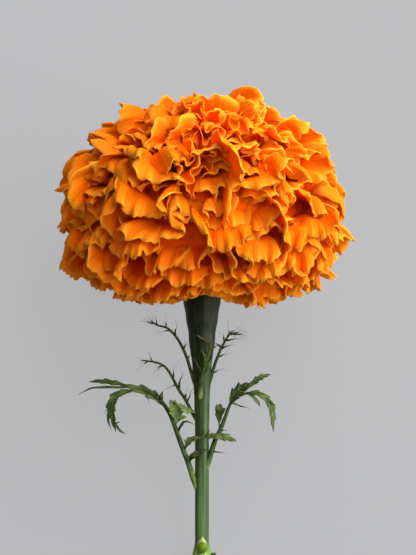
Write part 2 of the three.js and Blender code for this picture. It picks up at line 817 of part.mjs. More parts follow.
const part = new THREE.Group();
part.add(flower);
export default part;
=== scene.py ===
"""An african marigold, cut and laid down, dressed over its construction model.

The flower is modelled in its own axes, in millimetres: x to the right, y from the cut end of the
stem towards the bloom, z towards the side that faces up. placed() turns those into the part's
frame, in metres, where the flower rests on the plane z = 0.
"""

import random
from math import acos, atan2, cos, exp, hypot, log, pi, radians, sin

import bmesh
import bpy
from mathutils import Matrix, Vector


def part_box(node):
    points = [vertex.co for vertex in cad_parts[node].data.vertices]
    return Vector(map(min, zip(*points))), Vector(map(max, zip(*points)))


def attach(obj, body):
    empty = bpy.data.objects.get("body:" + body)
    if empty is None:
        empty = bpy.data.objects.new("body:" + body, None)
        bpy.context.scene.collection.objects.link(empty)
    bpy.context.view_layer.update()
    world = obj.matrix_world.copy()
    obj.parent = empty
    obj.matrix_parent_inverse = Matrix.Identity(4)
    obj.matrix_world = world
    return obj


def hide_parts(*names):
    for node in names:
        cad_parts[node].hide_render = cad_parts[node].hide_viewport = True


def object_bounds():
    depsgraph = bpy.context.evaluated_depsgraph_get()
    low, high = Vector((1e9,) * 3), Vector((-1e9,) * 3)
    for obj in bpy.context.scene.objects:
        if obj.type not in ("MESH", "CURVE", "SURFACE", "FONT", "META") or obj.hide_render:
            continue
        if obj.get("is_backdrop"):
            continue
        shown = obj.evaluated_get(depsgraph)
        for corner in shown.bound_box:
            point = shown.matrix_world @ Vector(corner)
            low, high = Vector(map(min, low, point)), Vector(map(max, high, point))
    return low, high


bl_info = {
    "name": "African Marigold",
    "version": (1, 0, 0),
    "blender": (4, 5, 0),
    "location": "3D View > Sidebar > Marigold",
    "description": "Dresses a cut african marigold with fine petals, leaves and a soft studio",
    "category": "Object",
}

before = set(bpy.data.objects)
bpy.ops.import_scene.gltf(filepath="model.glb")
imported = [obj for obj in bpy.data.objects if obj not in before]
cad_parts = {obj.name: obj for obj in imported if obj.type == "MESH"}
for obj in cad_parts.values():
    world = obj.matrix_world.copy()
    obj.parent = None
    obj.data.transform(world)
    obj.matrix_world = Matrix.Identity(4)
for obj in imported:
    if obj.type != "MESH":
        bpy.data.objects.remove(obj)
CAD_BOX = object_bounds()

MM = 0.001
BODY = "root"

REST_TILT = radians(18.2)
TILT_COS, TILT_SIN = cos(REST_TILT), sin(REST_TILT)
CUT_RADIUS = 2.2
STEM_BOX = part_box("stem")
SHIFT_X = (STEM_BOX[0].x + STEM_BOX[1].x) / 2 / MM
SHIFT_Y = STEM_BOX[0].y / MM + CUT_RADIUS * TILT_SIN
SHIFT_Z = CUT_RADIUS * TILT_COS


# ---- Helpers ----


def mix(a, b, share):
    return a + (b - a) * share


def ease(value, low, high):
    """0 below low and 1 above high, with a smooth rise between them."""
    share = min(1.0, max(0.0, (value - low) / (high - low)))
    return share * share * (3 - 2 * share)


def placed(point):
    """A point of the flower's own axes, in millimetres, as one of the part's frame, in metres."""
    x, y, z = point
    along, up = y * TILT_COS - z * TILT_SIN, y * TILT_SIN + z * TILT_COS
    return Vector((x + SHIFT_X, along + SHIFT_Y, up + SHIFT_Z)) * MM


def directed(direction):
    """A direction of the flower's own axes as one of the part's frame."""
    return (placed(direction) - placed((0, 0, 0))).normalized()


def add_grid(bm, layer, columns, rows, shape):
    """Adds a grid; shape(vertex, across, along) places a vertex and gives its surface place."""
    verts = bmesh.ops.create_grid(bm, x_segments=columns, y_segments=rows, size=1.0)["verts"]
    places = {}
    for vertex in verts:
        places[vertex] = shape(vertex, (vertex.co.x + 1) / 2, (vertex.co.y + 1) / 2)
    for face in {face for vertex in verts for face in vertex.link_faces}:
        for loop in face.loops:
            loop[layer].uv = places[loop.vert]
    return verts


def link_object(name, data):
    made = bpy.data.objects.new(name, data)
    bpy.context.scene.collection.objects.link(made)
    return made


def mesh_object(bm, name, material):
    """Makes the bmesh an object with that material."""
    mesh = bpy.data.meshes.new(name)
    bm.to_mesh(mesh)
    bm.free()
    mesh.materials.append(material)
    return link_object(name, mesh)


def finish_piece(bm, name, material, nodes=()):
    """Makes the bmesh a smooth object that rides on the flower and stands for those CAD nodes."""
    piece = mesh_object(bm, name, material)
    piece.data.shade_smooth()
    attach(piece, BODY)
    if nodes:
        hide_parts(*nodes)
    return piece


def bezier(points, share):
    """A point of the cubic Bezier curve with those four control points, and its heading."""
    a, b, c, d = points
    s, t = 1 - share, share
    place = a * s**3 + b * (3 * s * s * t) + c * (3 * s * t * t) + d * t**3
    heading = (b - a) * (s * s) + (c - b) * (2 * s * t) + (d - c) * (t * t)
    return place, heading.normalized()


class Route:
    """A smooth line through points, in even steps of its length."""

    STEPS = 12

    def __init__(self, points):
        ends = [points[0]] + list(points) + [points[-1]]
        knots = [Vector(p) for p in ends]
        self.line = [knots[1]]
        for a, b, c, d in zip(knots, knots[1:], knots[2:], knots[3:]):
            for step in range(1, self.STEPS + 1):
                t = step / self.STEPS
                self.line.append(
                    b
                    + (c - a) * (t / 2)
                    + (a * 2 - b * 5 + c * 4 - d) * (t * t / 2)
                    + (b * 3 - a - c * 3 + d) * (t**3 / 2)
                )
        self.reach = [0.0]
        for a, b in zip(self.line, self.line[1:]):
            self.reach.append(self.reach[-1] + (b - a).length)
        self.length = self.reach[-1]

    def at(self, share):
        """The point at a share of the length, and the heading there."""
        wanted = min(max(share, 0.0), 1.0) * self.length
        number = 1
        while number < len(self.line) - 1 and self.reach[number] < wanted:
            number += 1
        a, b = self.line[number - 1], self.line[number]
        part = (wanted - self.reach[number - 1]) / (self.reach[number] - self.reach[number - 1])
        return a.lerp(b, part), (b - a).normalized()


# ---- Materials ----


class Finish:
    """A node material with one Principled shader, built up by short calls."""

    def __init__(self, name, **values):
        self.material = bpy.data.materials.new(name)
        self.material.use_nodes = True
        self.tree = self.material.node_tree
        self.shader = self.tree.nodes["Principled BSDF"]
        for key, value in values.items():
            self.feed(self.shader.inputs[key.replace("_", " ")], value)

    def feed(self, socket, value):
        """Links another node's output to the socket, or sets a plain value or colour."""
        if isinstance(value, bpy.types.NodeSocket):
            self.tree.links.new(value, socket)
        elif socket.type == "RGBA":
            socket.default_value = (*value[:3], 1.0)
        else:
            socket.default_value = value

    def node(self, kind, inputs=(), **values):
        """A new node with those settings; inputs pairs its sockets with what feeds them."""
        made = self.tree.nodes.new(kind)
        for key, value in values.items():
            setattr(made, key, value)
        for key, value in dict(inputs).items():
            self.feed(made.inputs[key], value)
        return made

    def along_stem(self, stretch=(1, 1, 1)):
        """The piece's own place, turned so that its second axis runs along the stem."""
        place = self.node("ShaderNodeTexCoord").outputs["Object"]
        inputs = {"Rotation": (REST_TILT, 0, 0), "Scale": stretch, "Vector": place}
        return self.node("ShaderNodeMapping", inputs, vector_type="TEXTURE").outputs["Vector"]

    def noise(self, scale, detail=3.0, stretch=(1, 1, 1)):
        """Noise on the piece's own place, at a scale per metre, longer where it is stretched."""
        inputs = {"Scale": scale, "Detail": detail, "Vector": self.along_stem(stretch)}
        return self.node("ShaderNodeTexNoise", inputs).outputs["Fac"]

    def surface(self, layer):
        """The piece's own surface coordinates: across it and along it."""
        return self.separate(self.node("ShaderNodeUVMap", uv_map=layer).outputs["UV"])

    def separate(self, vector):
        return self.node("ShaderNodeSeparateXYZ", {0: vector}).outputs

    def attribute(self, name):
        return self.node("ShaderNodeAttribute", attribute_name=name).outputs["Fac"]

    def ramp(self, factor, stops):
        """Colours at places from 0 to 1."""
        made = self.node("ShaderNodeValToRGB", {"Fac": factor})
        elements = made.color_ramp.elements
        while len(elements) < len(stops):
            elements.new(0.5)
        for element, (place, colour) in zip(elements, stops):
            element.position = place
            element.color = (*colour[:3], 1.0)
        return made.outputs["Color"]

    def maths(self, operation, a, b=0.5, clamp=False):
        values = {0: a, 1: b}
        return self.node("ShaderNodeMath", values, operation=operation, use_clamp=clamp).outputs[0]

    def past(self, value, start, steepness):
        """0 up to the start, then a rise to 1."""
        return self.maths("MULTIPLY", self.maths("SUBTRACT", value, start), steepness, clamp=True)

    def blend(self, factor, a, b, mode="MIX"):
        inputs = {0: factor, 6: a, 7: b}
        return self.node("ShaderNodeMix", inputs, data_type="RGBA", blend_type=mode).outputs[2]

    def colour(self, value):
        self.feed(self.shader.inputs["Base Color"], value)

    def mottle(self, dark, light, noise, places=(0.3, 0.7)):
        """Colours the surface from dark to light, by noise."""
        self.colour(self.ramp(noise, list(zip(places, (dark, light)))))

    def bump(self, height, strength, distance):
        inputs = {"Strength": strength, "Distance": distance, "Height": height}
        bumped = self.node("ShaderNodeBump", inputs).outputs["Normal"]
        self.feed(self.shader.inputs["Normal"], bumped)


def petal_finish(bloom):
    """Orange petals: a painted highlight at the waved rim, red towards the depths (partly the
    petals' own colour, partly painted shade), painted shade on the skirt and on the side away from
    the key light, and fine veins along them.
    """
    finish = Finish(
        "petal_orange",
        Roughness=0.65,
        Specular_IOR_Level=0.02,
        Subsurface_Weight=0.42,
        Subsurface_Scale=0.002,
        Subsurface_Radius=(1.0, 0.45, 0.1),
    )
    across, along, _ = finish.surface("petal")
    # Along the petal, redder and darker towards the claw: partly the petal's own deeper colour and
    # partly painted shade where the other petals cover it.
    tone = finish.ramp(
        along,
        [
            (0.55, bloom.depth_colour),
            (0.78, bloom.shade_colour),
            (0.9, bloom.middle_colour),
            (0.98, bloom.face_colour),
        ],
    )
    doubled = finish.maths("MULTIPLY", across, 2.0)
    side = finish.maths("ABSOLUTE", finish.maths("SUBTRACT", doubled, 1.0))
    # The lighter yellow rim along the margin and the sides is a painted highlight, where the thin
    # edges catch the light.
    rim = finish.maths("MAXIMUM", finish.past(along, 0.962, 28.0), finish.past(side, 0.955, 22.0))
    tone = finish.blend(rim, tone, bloom.rim_highlight_colour)
    # The per-floret value multiplies in a redder tint: part random tone, part painted shade on the
    # skirt and on the side away from the key light.
    tone_and_shade_share = finish.maths("MULTIPLY", finish.attribute("tone_and_painted_shade"), 0.6, clamp=True)
    varied = finish.blend(tone_and_shade_share, tone, bloom.tone_and_shade_tint, mode="MULTIPLY")
    cloud = finish.ramp(finish.noise(170, 3), [(0.3, (0.84, 0.76, 0.7)), (0.7, (1.0, 1.0, 1.0))])
    finish.colour(finish.blend(0.8, varied, cloud, mode="MULTIPLY"))
    vein = finish.maths("SINE", finish.maths("MULTIPLY", across, PETAL_VEINS * 2 * pi))
    finish.bump(finish.maths("ADD", vein, finish.noise(2200, 2)), 0.3, 0.00015)
    return finish.material


def plain_finish(name, light, dark, roughness=0.5, scale=300):
    """A mottled finish for a small green piece."""
    finish = Finish(name, Roughness=roughness, Specular_IOR_Level=0.35)
    finish.mottle(dark, light, finish.noise(scale, 4), (0.32, 0.68))
    finish.bump(finish.noise(900, 3), 0.3, 0.0001)
    return finish.material


# ---- The bloom ----

LAST_POLAR = radians(158)
RECEPTACLE_RADIUS = 6.5
RECEPTACLE_HEIGHT = -8  # of its edge, from the bloom's centre
RECEPTACLE_DOME = 3
PETAL_COLUMNS = 60
PETAL_ROWS = 8
PETAL_START = 0.42
PETAL_VEINS = 24
CROWN_POWER = 2.25  # of the superellipse in profile; a higher power is boxier
SKIRT_POWER = 3.4
PRESS_DEPTH = 5.2
PRESS_SLOPE = 0.2
FLOOR_GAP = 0.12


def press(point):
    """Pushes a point of the part's frame, in metres, up from the floor as soft petals give way."""
    above = point.z / MM + PRESS_DEPTH
    reach = 2 * PRESS_DEPTH / (1 - PRESS_SLOPE)
    if above < reach:
        curved = (1 - PRESS_SLOPE) / (2 * reach) * above * above if above > 0 else 0
        point.z = max(FLOOR_GAP, PRESS_SLOPE * above + curved) * MM
    return point


def bloom_reach(polar, bloom):
    """How far the petals reach from the bloom's centre, at an angle from its top."""
    crown = cos(polar) >= 0
    power = CROWN_POWER if crown else SKIRT_POWER
    height = (bloom.crown_height if crown else bloom.skirt_depth) / MM
    total = (sin(polar) / (bloom.radius / MM)) ** power
    return (total + (abs(cos(polar)) / height) ** power) ** (-1 / power)


def in_bloom(point, bloom):
    """A point counted from the bloom's centre, in millimetres, pressed and put in place."""
    x, y, z = point
    return press(placed((x + bloom.offset / MM, y + bloom.centre / MM, z)))


class Floret:
    """One ray floret: its angles, its line from the receptacle to its tip, and its waves."""

    GOLDEN_TURN = radians(137.508)
    PARTING = 0.1  # how much shorter the skirt is over the neck, on the side that faces up
    UNDERSIDE = radians(138)  # the florets get shorter from here down
    OPENING = 0.3  # how much of its cup a floret loses towards its margin
    FUNNEL_EVERY, FUNNEL_FIRST = 11, 5  # some florets stay rolled up, with a dark throat
    FUNNEL_CUP, FUNNEL_OPENING, FUNNEL_ROLL = 2.4, 0.8, 0.4
    STEEPEST_CLAW, STEEPEST_TIP = radians(95), radians(182)  # from the bloom's top
    LONGEST_BEND = 17
    CLAW_HALF_WIDTH = 1.2
    WIDEST_STRETCH = 2.6  # of a waved row, back towards its flat width
    FLARE_START = 0.28
    MARGIN_START = 0.86
    WAVE_STARTS = (0.62, 0.77, MARGIN_START)  # the finer a wave, the nearer to the margin
    TIP_POWER = 2.4  # of the superellipse that rounds the tip
    # Each wave: how many across and their spread, steepness, the skirt's, and its spread.
    WAVES = (
        (1.3, 0.4, 0.75, 0.75, 0.3),
        (2.8, 0.5, 0.9, 0.6, 0.2),
        (4.8, 0.8, 0.8, 0.6, 0.2),
        (9.5, 1.2, 0.7, 0.45, 0.2),
    )

    def __init__(self, number, bloom, draws):
        def either(spread):
            return draws.uniform(-spread, spread)

        share = (number + 0.5) / bloom.florets
        if share < bloom.crown_portion:
            height = 1 - share / bloom.crown_portion
        else:
            height = cos(LAST_POLAR) * (share - bloom.crown_portion) / (1 - bloom.crown_portion)
        self.polar = max(0.02, acos(height) + either(0.09))
        self.turn = number * self.GOLDEN_TURN + either(0.08)
        crown = 1 - ease(self.polar, 0, radians(75))
        skirt = ease(self.polar, radians(85), radians(125))
        self.reach = bloom_reach(self.polar, bloom) * (1 - 0.03 + either(0.05))
        self.reach *= 1 - self.PARTING * skirt * max(0.0, cos(self.turn)) ** 6
        self.reach *= 1 - 0.2 * ease(self.polar, self.UNDERSIDE, LAST_POLAR)
        self.roll = either(mix(mix(0.45, 0.8, crown), 0.25, skirt))
        width = mix(mix(1.08, 1.0, crown), 0.98, skirt)
        self.half_width = bloom.floret_width / MM * width * (1 + either(0.2))
        self.bend = radians(mix(mix(70, 48, crown), 54, skirt)) + either(0.45)
        self.slew = either(0.4)
        self.round = mix(0.27, 0.38, skirt) + either(0.04)
        self.cup = mix(mix(0.9, 0.5, crown), 0.3, skirt) + either(0.6)
        self.opening = self.OPENING
        if number % self.FUNNEL_EVERY == self.FUNNEL_FIRST and skirt == 0:
            self.cup, self.opening = self.FUNNEL_CUP, self.FUNNEL_OPENING
            self.roll *= self.FUNNEL_ROLL
        self.curl = either(1.2)
        self.waves = [
            (
                across + either(change),
                either(pi),
                bloom.wave * (mix(steep, steep_skirt, skirt) + either(spread)),
            )
            for across, change, steep, steep_skirt, spread in self.WAVES
        ]
        self.notches = [
            (2.1 + either(0.6), either(pi), 0.026 + either(0.012)),
            (6.0 + either(1.0), either(pi), 0.01 + either(0.005)),
        ]
        self.teeth = [draws.uniform(0, bloom.tooth) for _ in range(PETAL_COLUMNS + 1)]
        self.flutter = [(5.0 + either(1.2), either(pi), 0.8 + either(0.3)) for _ in "lr"]
        self.unrest = (either(1.0), either(pi))
        # Each floret's redder tint: a random tone of its own plus painted shade, more on the skirt
        # and on the side away from the key light.
        key_lit_side = 0.5 + 0.5 * sin(self.turn) * sin(self.polar)
        self.tone_and_painted_shade = draws.random() * mix(1, 0.5, skirt) + 0.9 * skirt + mix(1.0, -0.3, key_lit_side)
        self.draw_line()

    def draw_line(self):
        """The middle line, in the plane of the axis: how far out, and how far up."""

        def heading(angle):
            return Vector((sin(angle), cos(angle)))

        share = min(1.0, self.polar / LAST_POLAR)
        root = RECEPTACLE_HEIGHT + RECEPTACLE_DOME * (1 - share * share)
        start = Vector((RECEPTACLE_RADIUS * share**0.7, root))
        tip = heading(self.polar) * self.reach
        self.length = (tip - start).length
        start_heading = heading(min(self.polar * 0.85, self.STEEPEST_CLAW))
        tip_heading = heading(min(self.polar + self.bend, self.STEEPEST_TIP))
        self.line = (
            start,
            start + start_heading * self.length * 0.42,
            tip - tip_heading * min(self.LONGEST_BEND, self.length * 0.5),
            tip,
        )

    def section(self, share, ends):
        """A row's shape across the floret: how far to the side and how far up each place lies."""
        flare = ease(share, self.FLARE_START, 1.0) ** 0.85
        rims = (flare, *(ease(share, start, 1.0) for start in self.WAVE_STARTS))
        half_width = mix(self.CLAW_HALF_WIDTH, self.half_width, flare)

        def lean(end):
            angle = self.cup * end * (1 - self.opening * flare)
            unrest = self.unrest[0] * sin(2 * end + self.unrest[1])
            for (number, phase, steepness), rim in zip(self.waves, rims):
                angle += rim * steepness * sin(pi * number * end + phase + unrest)
            return angle

        line = [Vector((0.0, 0.0))]
        for a, b in zip(ends, ends[1:]):
            angle = lean((a + b) / 2)
            line.append(line[-1] + Vector((cos(angle), sin(angle))) * (b - a))
        stretch = half_width * min(self.WIDEST_STRETCH, 2 / max(0.3, line[-1].x - line[0].x))
        middle = line[len(line) // 2]
        level = 0.6 * sum(place.y - middle.y for place in line) / len(line)
        return [(place - middle - Vector((0, level))) * stretch for place in line]

    def row(self, share, ends):
        """The points of a row, at 0 to 1 along the floret, counted from the bloom's centre."""
        outward = Vector((sin(self.turn), 0, cos(self.turn)))
        up = Vector((0, 1, 0))
        sideways = up.cross(outward)
        curl = self.curl * 2.4 * ease(share, 0.78, 1.0) ** 2
        slewed = Matrix.Rotation(self.slew * 0.35 * ease(share, 0.4, 1.0), 3, outward)
        flare = ease(share, self.FLARE_START, 1.0)
        margin = ease(share, self.MARGIN_START, 1.0)
        for end, tooth, (across, rise) in zip(ends, self.teeth, self.section(share, ends)):
            drop = self.round * (1 - (1 - abs(end) ** self.TIP_POWER) ** (1 / self.TIP_POWER))
            for number, phase, depth in self.notches:
                drop += depth * (1 - abs(sin(pi * number * end + phase)))
            along = share - drop * share**4 - tooth * margin
            place, heading = bezier(self.line, along)
            ahead = outward * heading.x + up * heading.y
            face = up * heading.x - outward * heading.y
            number, phase, depth = self.flutter[end > 0]
            rise += depth * ease(abs(end), 0.45, 1.0) * sin(2 * pi * number * share + phase)
            offset = sideways * across + face * (rise - curl)
            offset.rotate(Matrix.Rotation(self.roll * flare, 3, ahead))
            offset.rotate(slewed)
            yield outward * place.x + up * place.y + offset


def add_floret(bm, floret, bloom, layers):
    """Adds one floret: a grid bent to the floret's shape."""
    surface, tone_and_painted_shade = layers
    ends = [2 * column / PETAL_COLUMNS - 1 for column in range(PETAL_COLUMNS + 1)]
    shares = [mix(PETAL_START, 1, (row / PETAL_ROWS) ** 0.7) for row in range(PETAL_ROWS + 1)]
    rows = [list(floret.row(share, ends)) for share in shares]

    def shape(vertex, across, along):
        column, row = round(across * PETAL_COLUMNS), round(along * PETAL_ROWS)
        vertex[tone_and_painted_shade] = floret.tone_and_painted_shade
        vertex.co = in_bloom(rows[row][column], bloom)
        return (ends[column] + 1) / 2, shares[row]

    add_grid(bm, surface, PETAL_COLUMNS, PETAL_ROWS, shape)


class MARIGOLD_OT_petals(bpy.types.Operator):
    """Adds the ray florets, ring by ring from the top of the bloom down"""

    bl_idname = "marigold.petals"
    bl_label = "Petals"

    def execute(self, context):
        bloom = context.scene.marigold_bloom
        draws = random.Random(bloom.seed)
        florets = [Floret(number, bloom, draws) for number in range(bloom.florets)]
        material = petal_finish(bloom)
        rings = ("petals_crown", "petals_upper", "petals_middle", "petals_skirt")
        for ring, name in enumerate(rings):
            bm = bmesh.new()
            layers = (bm.loops.layers.uv.new("petal"), bm.verts.layers.float.new("tone_and_painted_shade"))
            first = len(florets) * ring // len(rings)
            last = len(florets) * (ring + 1) // len(rings)
            for floret in florets[first:last]:
                add_floret(bm, floret, bloom, layers)
            piece = finish_piece(bm, name, material, ("bloom",))
            solid = piece.modifiers.new("thickness", "SOLIDIFY")
            solid.thickness, solid.offset = bloom.thickness, 0.0
        return {"FINISHED"}


class MARIGOLD_OT_core(bpy.types.Operator):
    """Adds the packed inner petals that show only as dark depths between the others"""

    bl_idname = "marigold.core"
    bl_label = "Core"

    def execute(self, context):
        bloom = context.scene.marigold_bloom
        bm = bmesh.new()
        bmesh.ops.create_icosphere(bm, subdivisions=4, radius=1.0)
        for vertex in bm.verts:
            x, y, z = vertex.co
            polar = acos(max(-1.0, min(1.0, y)))
            reach = bloom_reach(polar, bloom) * bloom.core_share
            if y < 0:
                y *= bloom.core_skirt / bloom.skirt_depth / bloom.core_share
            vertex.co = in_bloom(Vector((x, y, z)) * reach, bloom)
        finish = Finish("petal_depths", Roughness=0.9, Specular_IOR_Level=0.0)
        finish.mottle((0.7, 0.07, 0.0), (0.95, 0.15, 0.0), finish.noise(220, 3))
        finish.bump(finish.noise(500, 4), 0.8, 0.0006)
        finish_piece(bm, "petals_packed", finish.material)
        return {"FINISHED"}


# ---- The stem, its bud and the involucre ----

STEM_RADIUS = 2.15
NODE_HEIGHT = 13
PEDUNCLE_TOP = 93
PEDUNCLE_TOP_RADIUS = 6.2
STEM_RIBS = 6
STEM_PROFILE = [
    (0, CUT_RADIUS),
    (9.5, CUT_RADIUS),
    (NODE_HEIGHT - 1.4, STEM_RADIUS + 0.75),
    (NODE_HEIGHT + 0.8, STEM_RADIUS + 0.8),
    (NODE_HEIGHT + 5, STEM_RADIUS),
    (50, STEM_RADIUS),
    (60, STEM_RADIUS + 0.2),
    (69, 2.9),
    (79.5, 4.1),
    (85, 4.95),
    (90, 5.75),
    (PEDUNCLE_TOP, PEDUNCLE_TOP_RADIUS),
]


def stem_radius(height):
    """The stem's radius at a height above the cut end."""
    for (low, a), (high, b) in zip(STEM_PROFILE, STEM_PROFILE[1:]):
        if height <= high:
            return mix(a, b, ease(height, low, high))
    return PEDUNCLE_TOP_RADIUS


def add_tube(bm, route, radius, sides, steps, layer):
    """Adds a closed tube along a route; radius(share) is its radius there. Its ends are points."""

    def shape(vertex, side, share):
        place, ahead = route.at(share)
        across = ahead.cross(Vector((0.12, 0.05, 1))).normalized()
        face = across.cross(ahead)
        turn = 2 * pi * side
        reach = radius(share) if 0.001 < share < 0.999 else 0.0
        vertex.co = placed(place + (across * cos(turn) + face * sin(turn)) * reach)
        return side, share

    verts = add_grid(bm, layer, sides, steps, shape)
    bmesh.ops.remove_doubles(bm, verts=verts, dist=1e-7)


def close_shell(bm):
    bmesh.ops.dissolve_degenerate(bm, dist=1e-8, edges=bm.edges)
    bmesh.ops.recalc_face_normals(bm, faces=bm.faces)


def turned_piece(profile, segments, move):
    """A closed turned bmesh from (radius, height) points; move(radius, turn, height) shapes it."""
    bm = bmesh.new()
    verts = [bm.verts.new((radius, 0, height)) for radius, height in profile]
    edges = [bm.edges.new(pair) for pair in zip(verts, verts[1:])]
    bmesh.ops.spin(
        bm,
        geom=verts + edges,
        cent=(0, 0, 0),
        axis=(0, 0, 1),
        angle=2 * pi,
        steps=segments,
        use_merge=True,
    )
    bmesh.ops.remove_doubles(bm, verts=bm.verts, dist=1e-5)
    for vertex in bm.verts:
        x, y, height = vertex.co
        radius, turn = hypot(x, y), atan2(x, -y)
        radius, height = move(radius, turn, height)
        vertex.co = placed((radius * sin(turn), height, -radius * cos(turn)))
    close_shell(bm)
    return bm


class MARIGOLD_OT_stem(bpy.types.Operator):
    """Adds the ribbed stem with its swollen node, and the peduncle that widens under the bloom"""

    bl_idname = "marigold.stem"
    bl_label = "Stem"

    def execute(self, context):
        greens = context.scene.marigold_greens
        steps = 90
        profile = [(0, 0), (CUT_RADIUS * 0.96, 0)]
        for step in range(steps + 1):
            height = mix(0.12, PEDUNCLE_TOP, step / steps)
            profile.append((stem_radius(height), height))
        profile.append((0, PEDUNCLE_TOP))

        def move(radius, turn, height):
            rib = 0.03 * (1 - cos(STEM_RIBS * turn)) * 0.5
            fine = 0.006 * cos(4 * STEM_RIBS * turn + 0.03 * height)
            knot = 0.02 * sin(3 * turn + 1) * exp(-(((height - NODE_HEIGHT) / 3) ** 2))
            return radius * (1 - rib + (fine if height > 2 else 0) + knot), height

        bm = turned_piece(profile, 96, move)
        finish = Finish("stem_green", Roughness=0.5, Specular_IOR_Level=0.25)
        streaks = finish.noise(1100, 4, (1, 40, 1))
        green = finish.ramp(
            streaks,
            [
                (0.35, greens.stem_dark),
                (0.5, greens.stem_colour),
                (0.68, greens.stem_light),
            ],
        )
        place = finish.separate(finish.along_stem())
        untilt = Matrix.Rotation(-REST_TILT, 3, "X")
        low, high = ((untilt @ placed((0, height, 0))).y for height in (0, PEDUNCLE_TOP))
        share = finish.maths("DIVIDE", finish.maths("SUBTRACT", place[1], low), high - low)
        # Along the stem: pale at the cut end and at the node, then darker towards the bloom; the
        # dark neck is partly the stem's own deeper green and partly painted shade from the bloom
        # above it.
        tone = finish.ramp(
            share,
            [
                (0.0, (1.25, 1.3, 0.75)),
                (0.148, (3.4, 2.7, 1.5)),
                (0.17, (2.8, 2.3, 1.4)),
                (0.195, (1.1, 1.05, 0.95)),
                (0.5, (0.95, 0.96, 0.9)),
                (0.72, (0.45, 0.42, 0.36)),
                (0.87, (0.2, 0.18, 0.12)),
                (1.0, (0.15, 0.13, 0.08)),
            ],
        )
        finish.colour(finish.blend(1.0, green, tone, mode="MULTIPLY"))
        finish.bump(finish.noise(2600, 3, (1, 60, 1)), 0.35, 0.0001)
        finish_piece(bm, "stem_ribbed", finish.material, ("stem",))
        return {"FINISHED"}


class MARIGOLD_OT_involucre(bpy.types.Operator):
    """Adds the green cup of fused bracts, ribbed and toothed, that holds the florets"""

    bl_idname = "marigold.involucre"
    bl_label = "Involucre"

    HEIGHT = 13.5
    RADIUS = 7.8
    TEETH = 8
    TOOTH_HEIGHT = 1.5

    def execute(self, context):
        greens = context.scene.marigold_greens
        bottom, rim = PEDUNCLE_TOP + 0.3, PEDUNCLE_TOP + self.HEIGHT
        profile = [(0, bottom), (PEDUNCLE_TOP_RADIUS, bottom)]
        for step in range(1, 15):
            share = step / 14
            radius = mix(PEDUNCLE_TOP_RADIUS + 0.1, self.RADIUS + 0.2, ease(share, -0.3, 0.9))
            profile.append((radius, mix(bottom, rim, share)))
        profile += [(self.RADIUS - 0.4, rim), (self.RADIUS - 1, rim - 2), (0, rim - 2)]

        def move(radius, turn, height):
            wave = cos(self.TEETH * turn)
            rib = 0.03 * (1 - wave) + 0.012 * cos(3 * self.TEETH * turn)
            share = (height - bottom) / self.HEIGHT
            if radius > self.RADIUS - 0.5 and share > 0.6:
                height += self.TOOTH_HEIGHT * wave * ease(share, 0.6, 1.0)
            return radius * (1 - rib), height

        bm = turned_piece(profile, 128, move)
        finish = Finish("involucre_green", Roughness=0.5, Specular_IOR_Level=0.3)
        streaks = finish.noise(900, 4, (1, 12, 1))
        finish.mottle(greens.stem_dark, greens.stem_colour, streaks, (0.35, 0.7))
        finish.bump(finish.noise(1800, 3), 0.3, 0.00012)
        finish_piece(bm, "involucre_cup", finish.material, ("involucre",))
        return {"FINISHED"}


class MARIGOLD_OT_side_bud(bpy.types.Operator):
    """Adds the side shoot's bud in the node, with the pale cap over it and the stub beside it"""

    bl_idname = "marigold.side_bud"
    bl_label = "Side bud"

    SIZE = (1.55, 1.8, 1.1)
    CENTRE = (0.1, NODE_HEIGHT + 3.8, STEM_RADIUS + 0.8)
    CAP_SIZE = (1.5, 2.3, 0.95)
    CAP_CENTRE = (0.0, NODE_HEIGHT + 4.9, STEM_RADIUS + 0.3)
    STUB = [(1.6, 13.6, 0.6), (3.2, 14.3, 1.0), (4.3, 14.6, 1.1)]

    def execute(self, context):
        greens = context.scene.marigold_greens
        finish = Finish(
            "bud_green",
            Roughness=0.5,
            Specular_IOR_Level=0.15,
            Subsurface_Weight=0.2,
            Subsurface_Scale=0.001,
        )
        finish.mottle(greens.bud_dark, greens.bud_colour, finish.noise(700, 3))
        finish.bump(finish.noise(2500, 2), 0.15, 0.0001)
        self.add_rounded("bud", finish.material, self.SIZE, self.CENTRE, 0.12, ("side_bud",))
        cap = plain_finish("bud_cap", greens.cap_colour, greens.bud_colour, 0.5, scale=900)
        self.add_rounded("bud_cap", cap, self.CAP_SIZE, self.CAP_CENTRE, 0.75)
        bm = bmesh.new()
        layer = bm.loops.layers.uv.new("leaf")
        add_tube(bm, Route(self.STUB), lambda share: 0.75 * (1 - 0.4 * share), 12, 10, layer)
        close_shell(bm)
        stub = plain_finish("stub_green", greens.stem_colour, greens.stem_dark, 0.6)
        finish_piece(bm, "node_stub", stub)
        return {"FINISHED"}

    def add_rounded(self, name, material, size, centre, point, nodes=()):
        """Adds an ellipsoid that leans out at its foot; point narrows its upper end."""
        bm = bmesh.new()
        bmesh.ops.create_uvsphere(bm, u_segments=36, v_segments=24, radius=1.0)
        for vertex in bm.verts:
            x, y, z = vertex.co
            slim = 1 - point * max(0.0, y) ** 1.5
            place = Vector((x * size[0] * slim, y * size[1], z * size[2]))
            place.rotate(Matrix.Rotation(radians(8), 3, "X"))
            vertex.co = placed(place + Vector(centre))
        close_shell(bm)
        finish_piece(bm, name, material, nodes)


# ---- The leaves ----

# A leaf has the radii of its rachis at the foot and the tip, and the rachis's points. A leaflet is
# its midrib, half width, teeth, widest place along it, facing and tone; a thread is its foot, its
# tip and its radius at the foot.

